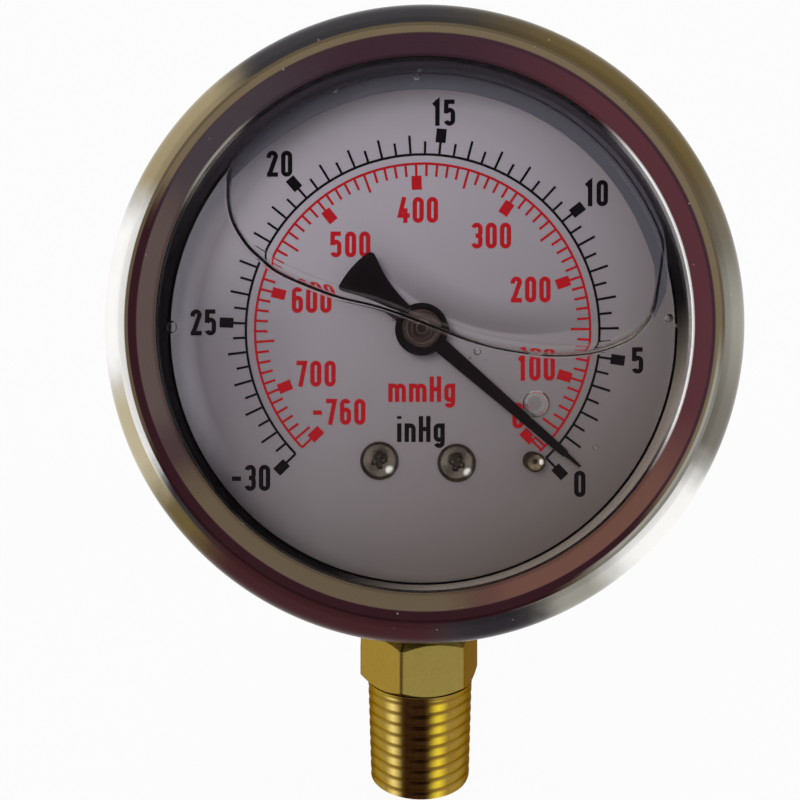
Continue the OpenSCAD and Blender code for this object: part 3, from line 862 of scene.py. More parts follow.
@dataclass(frozen=True)
class ClearFinish(Finish):
    """Clear solid, such as the window or the liquid. Light falls through it without a shadow."""

    ior: float
    colour: Colour = (1.0, 1.0, 1.0)

    def lay(self, m: MaterialMaker) -> None:
        """Lays the clear solid.

        Args:
            m: the material.
        """
        m.set(Base_Color=self.colour, Roughness=0.0, IOR=self.ior, Transmission_Weight=1.0)
        grain = m.grain(120.0)
        m.bump(grain["Value"], 0.0002, 0.05)
        path = m.node("ShaderNodeLightPath").outputs
        passing = m.maths("MAXIMUM", path["Is Shadow Ray"], path["Is Diffuse Ray"])
        clear = m.node("ShaderNodeBsdfTransparent").outputs["BSDF"]
        m.link(m.choose(passing, m.shader.outputs["BSDF"], clear), m.output.inputs["Surface"])


@dataclass(frozen=True)
class DialFinish(Finish):
    """White enamel with painted shade, greyer towards the lower right, at its rim and at the left,
    with painted light that makes its left rim paler and the painted shadow of the meniscus.

    The falls are the ends of each fade: along x, up from the axis, or as a radius.
    """

    name: str = "dial_enamel"
    light: Colour = srgb(157, 150, 158)
    shade: Colour = srgb(107, 98, 94)
    west: Colour = srgb(74, 71, 78)
    pale: Colour = srgb(226, 220, 232)
    meniscus_shadow_tone: Colour = (0.05, 0.045, 0.045)
    grit: Colour = (0.2, 0.18, 0.2)
    lean: float = 0.6
    shade_fall: Point2 = (-20.0, 34.0)
    rim_fall: Point2 = (24.0, 30.5)
    west_fall: Point2 = (-24.0, -12.0)
    west_height: Point2 = (1.0, 10.0)
    lift_fall: Point2 = (26.8, 29.7)
    lift: Patch = Patch(Tone.GLARE, 171.0, 34.0, 16.0, 0.0, 60.0)
    shadow_centre: Point2 = (13.0, 24.0)
    band: Patch = Patch(Tone.SOOT, 253.0, 29.0, 22.0, -9.0, 24.4, 0.35)
    band_width: Point2 = (4.2, 0.8)
    band_strength: float = 0.48

    def lay(self, m: MaterialMaker) -> None:
        """Lays the enamel.

        Args:
            m: the material.
        """
        place = m.group(m.groups.reading)
        radius = place["Radius"]
        grain = m.grain(150.0, 0.6)
        spot = m.position()
        height = m.maths("SUBTRACT", spot["Z"], AXIS_HEIGHT * MM)
        fall = m.maths("SUBTRACT", m.times(spot["X"], self.lean), height)
        # Painted shade: greyer towards the lower right.
        base = m.mix(m.fade(fall, self.shade_fall, 0.0, 1.0), self.light, self.shade)
        # Painted shade: darker towards the rim.
        base = m.mix(m.fade(radius, self.rim_fall, 0.0, 0.3), base, dim(self.shade, 0.75))
        # Painted shade: darker at the left, below the axis.
        west = m.times(m.fade(spot["X"], self.west_fall, 0.42, 0.0),
                       m.fade(height, self.west_height, 1.0, 0.0))
        base = m.mix(west, base, self.west)
        # Painted light: paler at the left rim.
        lift = m.times(m.fade(radius, self.lift_fall, 0.0, 0.95),
                       self.lift.mask(m, radius, place["Angle"]))
        base = m.mix(lift, base, self.pale)
        # Painted shadow of the meniscus.
        base = m.mix(self.meniscus_shadow(m, spot), base, self.meniscus_shadow_tone)
        m.feed(m.mottle(grain["Value"], 0.06, base, self.grit), "Base Color")
        m.set(Roughness=0.55, Specular_IOR_Level=0.12)
        m.bump(grain["Height"], 0.003, 0.3)

    def meniscus_shadow(self, m: MaterialMaker, spot: Outputs) -> Socket:
        """Painted shadow that the meniscus throws on the dial, a crescent about its given middle.

        Args:
            m: the material.
            spot: where a point lies.

        Returns:
            The shade's mask.
        """
        east = m.maths("SUBTRACT", spot["X"], self.shadow_centre[0] * MM)
        north = m.maths("SUBTRACT", spot["Z"], (AXIS_HEIGHT + self.shadow_centre[1]) * MM)
        reach = m.length(east, north)
        edges = (self.band.outer - self.band_width[0], self.band.outer - self.band_width[1])
        return m.times(self.band.mask(m, reach, m.bearing(north, east)),
                       m.fade(reach, edges, 0.0, self.band_strength))


@dataclass(frozen=True)
class BezelFinish(Finish):
    """Polished steel with painted reflections of a dim room and painted highlights in its colour.
    Angles run from the right, upward.
    """

    name: str = "bezel_polished_steel"
    span: Point2 = (29.0, 33.0)
    rings: tuple[tuple[float, Tone], ...] = (
        (29.25, Tone.SOOT), (29.42, Tone.PLUM), (31.2, Tone.PLUM), (31.35, Tone.BRONZE),
        (32.05, Tone.BRONZE), (32.25, Tone.STEEL),
    )
    patches: tuple[Patch, ...] = (
        # slope
        Patch(Tone.CLARET, 10, 58, 22, 29.3, 31.0),
        Patch(Tone.HEATHER, 138, 20, 16, 29.3, 31.2),
        Patch(Tone.UMBER, 178, 26, 9, 29.3, 31.0),
        Patch(Tone.DRAB, 246, 34, 8, 29.3, 31.0),
        Patch(Tone.BRICK, 308, 26, 10, 29.3, 31.0),
        # crest
        Patch(Tone.MAROON, 238, 84, 8, 31.05, 31.75),
        Patch(Tone.MAROON, 251, 48, 6, 31.6, 32.2),
        Patch(Tone.SILVER, 330, 24, 6, 31.55, 32.3),
        # roll
        Patch(Tone.PEWTER, 352, 36, 12, 32.1, 36.0),
        Patch(Tone.SILVER, 0, 9, 9, 32.1, 36.0),
        Patch(Tone.SILVER, 302, 11, 5, 32.1, 36.0),
        Patch(Tone.OLIVE, 47, 27, 16, 32.1, 36.0),
        Patch(Tone.KHAKI, 143, 15, 6, 32.1, 36.0),
        Patch(Tone.SAND, 203, 13, 6, 32.6, 36.0),
        Patch(Tone.OLIVE, 222, 10, 7, 32.6, 36.0),
        Patch(Tone.WINE, 251, 25, 7, 32.1, 36.0),
        Patch(Tone.SLATE, 284, 8, 6, 32.2, 36.0),
        Patch(Tone.GLARE, 174, 17, 6, 32.1, 36.0),
        Patch(Tone.GLARE, 184, 25, 5, 32.1, 32.8),
        Patch(Tone.GLARE, 320, 12, 6, 32.1, 36.0),
        # lip
        Patch(Tone.GLARE, 8, 34, 8, 29.0, 29.5),
        Patch(Tone.SILVER, 141, 9, 6, 29.0, 29.5),
    )
    speck_tone: Colour = (0.5, 0.45, 0.42)
    grime: Colour = (0.05, 0.045, 0.045)

    def lay(self, m: MaterialMaker) -> None:
        """Lays the polished steel.

        Args:
            m: the material.
        """
        m.set(Metallic=1.0)
        place = m.group(m.groups.reading)
        radius = place["Radius"]
        grain = m.grain(260.0)["Value"]
        turn = m.maths("ADD", place["Angle"], m.spread(grain, 0.3, 0.7, -0.004, 0.004))
        low, high = self.span
        # Painted reflections: bands of tone by radius, then patches by angle; the GLARE patches are
        # painted highlights.
        tone = m.ramp(m.fade(radius, self.span, 0.0, 1.0),
                      [((r - low) / (high - low), t.value) for r, t in self.rings])
        for patch in self.patches:
            tone = m.mix(patch.mask(m, radius, turn), tone, patch.tone.value)
        specks = m.group(m.groups.specks, Scale=2600.0, Amount=0.012)["Mask"]
        tone = m.mix(m.times(specks, 0.3), tone, self.speck_tone)
        m.feed(m.mottle(grain, 0.04, tone, self.grime), "Base Color")
        turning = m.turning(radius, 9000.0)
        m.rough(turning["Value"], 0.2, 0.3)
        m.bump(turning["Height"], 0.0010, 0.2)


@dataclass(frozen=True)
class BrassFinish(Finish):
    """Machined brass or bronze with tool lines and a mottled tone."""

    name: str = "machined_brass"
    light: Colour = srgb(186, 160, 82)
    dark: Colour = srgb(150, 122, 56)
    roughness: float = 0.22
    lines: float = 5200.0

    def lay(self, m: MaterialMaker) -> None:
        """Lays the machined metal.

        Args:
            m: the material.
        """
        m.set(Metallic=1.0)
        grain = m.grain(380.0)
        turning = m.turning(m.position()["Z"], self.lines)
        m.feed(m.mottle(grain["Value"], 0.45, self.light, self.dark), "Base Color")
        m.rough(turning["Value"], self.roughness * 0.8, self.roughness * 1.35)
        m.bump(turning["Height"], 0.004, 0.3)


@dataclass(frozen=True)
class StemFinish(Finish):
    """Bright brass of the stem, with painted reflections of a dim room, painted highlights on the
    thread's crests and painted shade in its grooves.

    Bearings run from the front to the right, and the limits across are heights.
    """

    name: str = "stem_bright_brass"
    pitch: float = THREAD_PITCH
    phase: float = THREAD_PHASE
    patches: tuple[Patch, ...] = (
        # thread
        Patch(Tone.BISTRE, -84, 18, 10, -5.0, 13.42),
        Patch(Tone.BISTRE, 84, 26, 12, -5.0, 13.42),
        Patch(Tone.GOLD, -46, 16, 10, -5.0, 13.42),
        Patch(Tone.COCOA, -6.5, 18, 9, -5.0, 13.42),
        # hexagon
        Patch(Tone.GOLD, -48, 30, 2, 13.38, 30.0, 0.1),
        Patch(Tone.MOSS, 12, 30, 2, 13.38, 30.0, 0.1),
        Patch(Tone.BISTRE, 72, 30, 2, 13.38, 30.0, 0.1),
        Patch(Tone.GOLD, 180, 78, 4, 13.38, 30.0, 0.1),
        Patch(Tone.COCOA, -17.6, 1.1, 1.6, 13.38, 30.0, 0.1),
    )
    glints: tuple[Patch, ...] = (
        Patch(Tone.PALE, -31, 5.0, 7, -5.0, 13.0),
        Patch(Tone.LEMON, 19.5, 6.0, 7, -5.0, 13.0),
    )
    thread_end: Point2 = (13.1, 13.3)
    tarnish: Colour = (0.10, 0.06, 0.02)

    def lay(self, m: MaterialMaker) -> None:
        """Lays the bright brass.

        Args:
            m: the material.
        """
        m.set(Metallic=1.0, Specular_Tint=(0.55, 0.42, 0.22))
        thread = m.group(m.groups.ridge, Pitch=self.pitch * MM, Phase=self.phase)
        height, bearing, ridge = thread["Height"], thread["Bearing"], thread["Ridge"]
        grain = m.grain(300.0)
        turning = m.turning(height, 4200.0)
        tone = m.mottle(grain["Value"], 1.0, Tone.OCHRE.value, Tone.GOLD.value)
        # Painted reflections by bearing: dark and pale columns on the thread, and each hexagon flat
        # lit or shaded.
        for patch in self.patches:
            tone = m.mix(m.times(patch.mask(m, height, bearing), 0.97), tone,
                         patch.tone.value)
        # Painted shade in the thread's grooves.
        groove = m.times(m.fade(height, self.thread_end, 1.0, 0.0),
                         m.spread(ridge, 0.0, 0.4, 0.22, 0.0))
        tone = m.mix(groove, tone, Tone.COCOA.value)
        # Painted highlights on the thread's crests.
        for patch in self.glints:
            crest = m.times(patch.mask(m, height, bearing),
                            m.spread(ridge, 0.05, 0.5, 0.0, 1.0))
            tone = m.mix(crest, tone, patch.tone.value)
        m.feed(m.mix(m.spread(grain["Height"], 0.35, 0.65, 0.0, 0.10), tone, self.tarnish),
               "Base Color")
        m.rough(turning["Value"], 0.26, 0.4)
        m.bump(turning["Height"], 0.003, 0.2)


@dataclass(frozen=True)
class PlatedFinish(Finish):
    """Plated steel of the dial's fixings, with a painted highlight and a painted shaded side on
    each head.

    The spots are (x, height above the axis, radius) in millimetres.
    """

    colour: Colour
    glints: tuple[Point3, ...]
    shade_spots: tuple[Point3, ...]
    roughness: float = 0.22
    shade_tone: Colour = (0.045, 0.036, 0.03)

    @staticmethod
    def spots(m: MaterialMaker, places: Sequence[Point3], edge: float) -> Socket:
        """Masks round spots.

        Args:
            m: the material.
            places: the spots.
            edge: share of a spot's radius over which it fades.

        Returns:
            The mask, 1 at the spots' middles.
        """
        spot = m.position()
        masks = []
        for x, z, radius in places:
            east = m.maths("SUBTRACT", spot["X"], x * MM)
            north = m.maths("SUBTRACT", spot["Z"], (AXIS_HEIGHT + z) * MM)
            masks.append(m.fade(m.length(east, north), (radius * (1 - edge), radius), 1.0, 0.0))
        mask = masks[0]
        for other in masks[1:]:
            mask = m.maths("MAXIMUM", mask, other)
        return mask

    def lay(self, m: MaterialMaker) -> None:
        """Lays the plating.

        Args:
            m: the material.
        """
        m.set(Metallic=1.0, Specular_Tint=(0.4, 0.38, 0.35))
        grain = m.grain(900.0)
        tone = m.mottle(grain["Value"], 0.35, self.colour, dim(self.colour, 0.6))
        # Painted shade on one side of each head.
        tone = m.mix(m.times(self.spots(m, self.shade_spots, 0.8), 0.75), tone, self.shade_tone)
        # Painted highlight on each head.
        m.feed(m.mix(self.spots(m, self.glints, 0.55), tone, Tone.GLARE.value), "Base Color")
        m.rough(grain["Value"], self.roughness * 0.8, self.roughness * 1.2, 0.2, 0.8)
        m.bump(grain["Height"], 0.004, 0.2)


@dataclass(frozen=True)
class GasketFinish(Finish):
    """Black rubber, with painted light that makes it pale at the lower right, and greyer along the
    top.
    """

    name: str = "gasket_rubber"
    dark: Colour = srgb(20, 17, 20)
    lit_tone: Colour = srgb(184, 172, 160)
    top_grey: Colour = srgb(82, 76, 84)
    lit_patch: Patch = Patch(Tone.SILVER, 308, 46, 14, 0.0, 60.0)
    top_patch: Patch = Patch(Tone.PLUM, 88, 58, 24, 0.0, 60.0)

    def lay(self, m: MaterialMaker) -> None:
        """Lays the rubber.

        Args:
            m: the material.
        """
        place = m.group(m.groups.reading)
        grain = m.grain(500.0)
        tone = m.mix(grain["Value"], dim(self.dark, 0.8), self.dark)
        # Painted light: pale at the lower right, where the light falls; greyer along the top.
        for patch, colour in ((self.top_patch, self.top_grey), (self.lit_patch, self.lit_tone)):
            tone = m.mix(patch.mask(m, place["Radius"], place["Angle"]), tone, colour)
        m.feed(tone, "Base Color")
        m.rough(grain["Value"], 0.6, 0.75, 0.2, 0.8)
        m.set(Specular_IOR_Level=0.1)
        m.bump(grain["Height"], 0.006, 0.3)


class Finishes:
    """Every material of the gauge, built once."""

    def __init__(self) -> None:
        """Builds the groups and the materials."""
        g = GroupLibrary()
        self.bezel = BezelFinish().build(g)
        self.case = SteelFinish("case_satin_steel", srgb(168, 166, 160), 0.34).build(g)
        self.window = ClearFinish("window_glass", 1.5).build(g)
        self.liquid = ClearFinish("filling_liquid", 1.47, (0.985, 0.985, 0.97)).build(g)
        self.rubber = CoatedFinish("black_rubber", srgb(26, 25, 27), 0.55).build(g)
        self.dial = DialFinish().build(g)
        self.gasket = GasketFinish().build(g)
        # Painted dark band along the top, standing in for the meniscus' dark reflection.
        self.film = CoatedFinish("painted_meniscus_band", srgb(86, 85, 93), 0.6, 0.12, 200.0,
                                 specular=0.1).build(g)
        self.black_print = CoatedFinish("black_print", srgb(10, 8, 12), 0.5, 0.3,
                                        specular=0.05).build(g)
        self.red_print = CoatedFinish("red_print", srgb(168, 22, 30), 0.5, 0.12,
                                      specular=0.05).build(g)
        self.pointer = CoatedFinish("pointer_black", srgb(9, 4, 7), 0.45, 0.3,
                                    specular=0.1).build(g)
        self.hub = SteelFinish("hub_turned_metal", srgb(106, 88, 83), 0.34).build(g)
        # The glints are painted highlights and the other spots painted shade on the screw heads.
        self.nickel = PlatedFinish(
            "nickel_screw", srgb(124, 115, 105),
            glints=((-3.75, -16.5, 0.62), (5.45, -16.75, 0.62)),
            shade_spots=((-4.7, -14.2, 1.5), (4.5, -14.4, 1.5), (-5.9, -16.4, 1.2), (3.3, -16.6, 1.2)),
        ).build(g)
        # The glint is a painted highlight and the other spot painted shade on the stop's head.
        self.stop = PlatedFinish(
            "stop_pin_nickel", srgb(136, 122, 98),
            glints=((13.75, -15.35, 0.42),), shade_spots=((12.6, -14.9, 0.9),),
        ).build(g)
        self.steel = SteelFinish("screw_steel", srgb(176, 176, 174), 0.32).build(g)
        self.brass = BrassFinish().build(g)
        self.stem = StemFinish().build(g)
        self.bronze = BrassFinish(
            "drawn_bronze", srgb(206, 150, 104), srgb(150, 96, 58), 0.36, 900.0
        ).build(g)


# ---------------------------------------------------------------------------------------------
# Print on the dial
# ---------------------------------------------------------------------------------------------

Stroke = tuple[Point2, ...]


def stadium(width: float, height: float) -> Stroke:
    """Centre line of a closed, straight-sided oval that stands on 0."""
    r = width / 2
    oval = arc_points((r, height - r), r, 0, 180, 10) + arc_points((r, r), r, 180, 360, 10)
    return (*oval, oval[0])


@dataclass(frozen=True)
class Lettering:
    """Condensed sign-writer's numerals, drawn with strokes of one width.

    The cap height is 1, and a figure's centre line lies half a stroke inside its outline.
    """

    stroke: float = 0.172
    width: float = 0.435
    gap: float = 0.115
    x_height: float = 0.72
    small_r: float = 0.13

    def strokes(self, sign: str) -> tuple[float, list[Stroke]]:
        """Draws one sign.

        Args:
            sign: a digit, the minus sign or a letter of the units.

        Returns:
            The sign's full width, and its centre lines.
        """
        t = self.stroke
        w = self.width - t
        h = 1.0 - t
        r = w / 2
        o = t / 2
        x_height, q = self.x_height - t, self.small_r
        if sign == "0":
            return self.width, [stadium(w, h)]
        if sign == "1":
            return 0.365, [((0.0, h - 0.13), (0.15, h), (0.15, -o)), ((0.15, h), (0.15, h + o))]
        if sign == "2":
            top = arc_points((r, h - r), r, 180, -35, 12)
            return self.width, [
                tuple([(0.0, h - r - 0.06)] + top + [(0.02, 0.0)]),
                ((-o * 0.9, 0.0), (w + o, 0.0)),
            ]
        if sign == "3":
            upper = arc_points((r, h - r), r, 172, 0, 9)
            upper += arc_points((r, h / 2 + r * 0.92), r, 0, -80, 6)
            lower = arc_points((r, h / 2 - r * 0.92), r, 80, 0, 6)
            lower += arc_points((r, r), r, 0, -172, 9)
            return self.width, [tuple(upper), tuple(lower), ((r - 0.05, h / 2), (r + 0.06, h / 2))]
        if sign == "4":
            return self.width + 0.02, [
                ((w * 0.62, h + o), (-0.005, 0.2), (w + o + 0.03, 0.2)),
                ((w * 0.78, 0.48), (w * 0.78, -o)),
            ]
        if sign == "5":
            bowl = arc_points((r, h * 0.62 - r), r, 125, 0, 8) + arc_points((r, r), r, 0, -168, 10)
            return self.width + 0.02, [
                ((w + o * 0.7, h), (0.01, h), (0.0, h * 0.47)),
                tuple([(0.0, h * 0.5)] + bowl),
            ]
        if sign == "6":
            bowl = stadium(w, h * 0.6)
            back = arc_points((r, h - r), r, 180, 20, 10)
            return self.width, [bowl, tuple([(0.0, r)] + back)]
        if sign == "7":
            return self.width, [((-o * 0.8, h), (w, h), (w * 0.32, -o))]
        if sign == "8":
            bowl = stadium(w, h * 0.53)
            return self.width, [bowl, tuple((x, y + h * 0.47) for x, y in bowl)]
        if sign == "9":
            bowl = tuple((x, y + h * 0.4) for x, y in stadium(w, h * 0.6))
            return self.width, [bowl, tuple([(w, h - r)] + arc_points((r, r), r, 0, -160, 10))]
        if sign == "-":
            return 0.37, [((-o, h * 0.46), (0.26, h * 0.46))]
        if sign == "H":
            return self.width + 0.02, [
                ((0.0, -o), (0.0, h + o)),
                ((w + 0.02, -o), (w + 0.02, h + o)),
                ((0.0, h * 0.5), (w + 0.02, h * 0.5)),
            ]
        if sign in "mn":
            count = 2 if sign == "m" else 1
            lines: list[Stroke] = [((0.0, -o), (0.0, x_height + o))]
            for k in range(count):
                start = k * 2 * q
                lines.append(tuple(
                    [(start, x_height * 0.8)]
                    + arc_points((start + q, x_height - q), q, 150, 0, 8)
                    + [(start + 2 * q, -o)]
                ))
            return count * 2 * q + t, lines
        if sign == "i":
            return t, [((0.0, -o), (0.0, x_height + o)), ((0.0, h - 0.03), (0.0, h + o))]
        if sign == "g":
            return 2 * q + t, [
                stadium(2 * q, x_height),
                tuple([(2 * q, x_height + o), (2 * q, -0.1)]
                      + arc_points((q, -0.1), q, 0, -160, 8)),
            ]
        raise ValueError(f"no strokes for {sign!r}")

    def layout(self, text: str) -> tuple[float, list[Stroke]]:
        """Sets a line of signs side by side.

        Args:
            text: the signs.

        Returns:
            The line's full width, and its strokes with x = 0 at the line's left edge.
        """
        x = 0.0
        placed: list[Stroke] = []
        for sign in text:
            width, strokes = self.strokes(sign)
            placed += [
                tuple((px + x + self.stroke / 2, py + self.stroke / 2) for px, py in line)
                for line in strokes
            ]
            x += width + self.gap
        return x - self.gap, placed


class PrintMaker(MeshMaker):
    """Lays strokes of ink on the dial's face as thin ribbons.

    Ribbons that cross lie on layers of their own, so no two faces share a plane.
    """

    same_place: float = 1e-6
    sharpest_mitre: float = 0.35
    layer: float = 0.0004
    layers: int = 7

    def __init__(self, name: str, face: float, thickness: float = 0.02) -> None:
        """Starts an empty print on the plane y = face."""
        super().__init__(name)
        self.face = face
        self.thickness = thickness
        self.count = 0

    def ribbon(self, line: Sequence[Point2], width: float) -> None:
        """Adds one stroke, mitred at its bends.

        Args:
            line: its centre line; one that ends where it starts is closed.
            width: its width.
        """
        points = [np.array(p, float) for p in line]
        points = [p for i, p in enumerate(points)
                  if i == 0 or np.linalg.norm(p - points[i - 1]) > self.same_place]
        closed = len(points) > 3 and np.linalg.norm(points[0] - points[-1]) < self.same_place
        if closed:
            points.pop()
        n = len(points)
        left: list[np.ndarray] = []
        right: list[np.ndarray] = []
        for i, point in enumerate(points):
            ways = []
            if i > 0 or closed:
                ways.append(unit(point - points[i - 1]))
            if i < n - 1 or closed:
                ways.append(unit(points[(i + 1) % n] - point))
            normal = leftward(unit(sum(ways)))
            slant = max(self.sharpest_mitre, float(normal @ leftward(ways[0])))
            left.append(point + normal * (width / 2 / slant))
            right.append(point - normal * (width / 2 / slant))
        y = self.face - self.thickness - self.layer * (self.count % self.layers)
        self.count += 1
        edges = [self.loop((x, y, AXIS_HEIGHT + z) for x, z in side) for side in (left, right)]
        self.bridge(edges[1], edges[0], closed=closed)

    def words(self, text: str, centre: Point2, height: float, style: Lettering) -> None:
        """Prints a line of signs with its middle at a point.

        Args:
            text: the signs.
            centre: the middle of the line's caps, from the gauge's axis.
            height: cap height in millimetres.
            style: the lettering.
        """
        width, strokes = style.layout(text)
        for line in strokes:
            self.ribbon([(centre[0] + (x - width / 2) * height,
                          centre[1] + (z - 0.5) * height) for x, z in line],
                        style.stroke * height)


@dataclass
class DialPrint:
    """Numerals and unit signs. Places are from the gauge's axis, in millimetres."""

    face: float = DIAL_FACE
    black_height: float = 3.12
    red_height: float = 3.1
    black: tuple[tuple[str, Point2], ...] = (
        ("15", (2.65, 26.1)),
        ("20", (-17.0, 20.1)),
        ("25", (-26.05, 1.05)),
        ("-30", (-20.35, -17.55)),
        ("10", (20.8, 16.4)),
        ("5", (25.65, -3.55)),
        ("0", (18.8, -18.2)),
    )
    red: tuple[tuple[str, Point2], ...] = (
        ("400", (-0.4, 14.5)),
        ("500", (-8.5, 10.4)),
        ("600", (-13.1, 3.7)),
        ("700", (-12.6, -5.1)),
        ("-760", (-9.8, -9.65)),
        ("300", (8.35, 11.4)),
        ("200", (13.05, 4.95)),
        ("100", (13.6, -4.4)),
        ("0", (11.5, -10.1)),
    )
    black_unit: tuple[str, Point2, float] = ("inHg", (-0.05, -11.7), 3.1)
    red_unit: tuple[str, Point2, float] = ("mmHg", (0.05, -6.95), 3.05)

    def build(self, finishes: Finishes) -> list[Piece]:
        """Makes the print of both scales' signs.

        Args:
            finishes: the materials.

        Returns:
            The dressed black print and red print.
        """
        style = Lettering()
        made = []
        for name, numerals, height, sign, ink in (
            ("numerals_inhg", self.black, self.black_height, self.black_unit,
             finishes.black_print),
            ("numerals_mmhg", self.red, self.red_height, self.red_unit, finishes.red_print),
        ):
            maker = PrintMaker(name, self.face)
            for text, at in numerals:
                maker.words(text, at, height, style)
            maker.words(*sign, style)
            made.append(dress(maker.raw(), ink))
        return made


@dataclass
class PrintedScale:
    """A scale's own print, set on the dial with the small turn and shift that the press left."""

    turn: float = -0.85
    shift: Point2 = (0.12, 0.03)
    proud: float = 0.02

    def build(self, name: str, solid: Piece, material: Material) -> Piece:
        """Copies a packed scale, turned and shifted in its plane.

        Args:
            name: the copy's name.
            solid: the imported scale.
            material: its print.

        Returns:
            The dressed copy.
        """
        mesh = solid.data.copy()
        centre = Vector((0.0, 0.0, AXIS_HEIGHT * MM))
        spin = Matrix.Rotation(-math.radians(self.turn), 4, "Y")
        move = Matrix.Translation(Vector((self.shift[0], -self.proud, self.shift[1])) * MM)
        mesh.transform(solid.matrix_world)
        mesh.transform(move @ Matrix.Translation(centre) @ spin @ Matrix.Translation(-centre))
        return dress(add_object(name, mesh), material)


# ---------------------------------------------------------------------------------------------
# Sub-assemblies
# ---------------------------------------------------------------------------------------------


@dataclass
class Housing:
    """Bezel of pressed steel, turned about the gauge's axis.

    Radii and depths are in millimetres; the crimp is the fold behind the case's rim.
    """

    bezel_r: float = 35.0
    opening_r: float = 29.25
    shoulder_r: float = 2.3
    crest: float = -20.4
    wall: float = 0.9
    rim: float = -13.0
    case_r: float = 31.5
    case_wall: float = 0.8
    crest_band: float = 0.9
    lip_round: float = 0.2
    lip_end: Point2 = (0.24, -0.02)
    slope_end: Point2 = (-0.1, 0.06)
    slope_steps: int = 8
    slope_bulge: float = 0.06
    crimp_round: float = 0.5
    crimp_drop: float = 0.4
    crimp_gap: float = 0.5
    crimp_depth: float = 0.9
    inner_drop: float = 0.1
    seat: float = 1.3

    def profile(self) -> list[Point2]:
        """Section of the ring: lip, slope, flat crest, round shoulder, wall and crimp.

        Returns:
            Corners as (radius, y).
        """
        crest_r = self.bezel_r - self.shoulder_r
        flat_r = crest_r - self.crest_band
        centre = (crest_r, self.crest + self.shoulder_r)
        lip = WINDOW_FRONT - self.wall
        crimp = self.rim + self.case_wall
        fold_r = self.case_r + self.crimp_gap
        rounded = self.lip_round
        outer: list[Point2] = [(self.opening_r, WINDOW_FRONT)]
        outer += arc_points((self.opening_r + rounded, lip + rounded), rounded, 180, 250, 5)
        start = (self.opening_r + self.lip_end[0], lip + self.lip_end[1])
        end = (flat_r + self.slope_end[0], self.crest + self.slope_end[1])
        for k in range(self.slope_steps + 1):
            t = k / self.slope_steps
            outer.append((start[0] + (end[0] - start[0]) * t,
                          start[1] + (end[1] - start[1]) * t
                          + self.slope_bulge * math.sin(math.pi * t)))
        outer.append((flat_r, self.crest))
        outer += arc_points(centre, self.shoulder_r, 270, 360, 16)
        outer += arc_points((self.bezel_r - self.crimp_round, crimp + self.crimp_drop),
                            self.crimp_round, 0, 90, 5)
        outer += [(fold_r, crimp + self.crimp_depth), (fold_r, crimp),
                  (self.bezel_r - self.wall, crimp)]
        outer += arc_points(centre, self.shoulder_r - self.wall, 360, 270, 10)
        outer += [(flat_r, self.crest + self.inner_drop + self.wall),
                  (self.opening_r + self.seat, WINDOW_FRONT)]
        return outer

    def build(self, finishes: Finishes) -> Piece:
        """Makes the dressed bezel."""
        return dress(lathe("bezel_ring", self.profile(), segments=256, smooth=28), finishes.bezel)


EdgeRow = tuple[float, float, float, float]


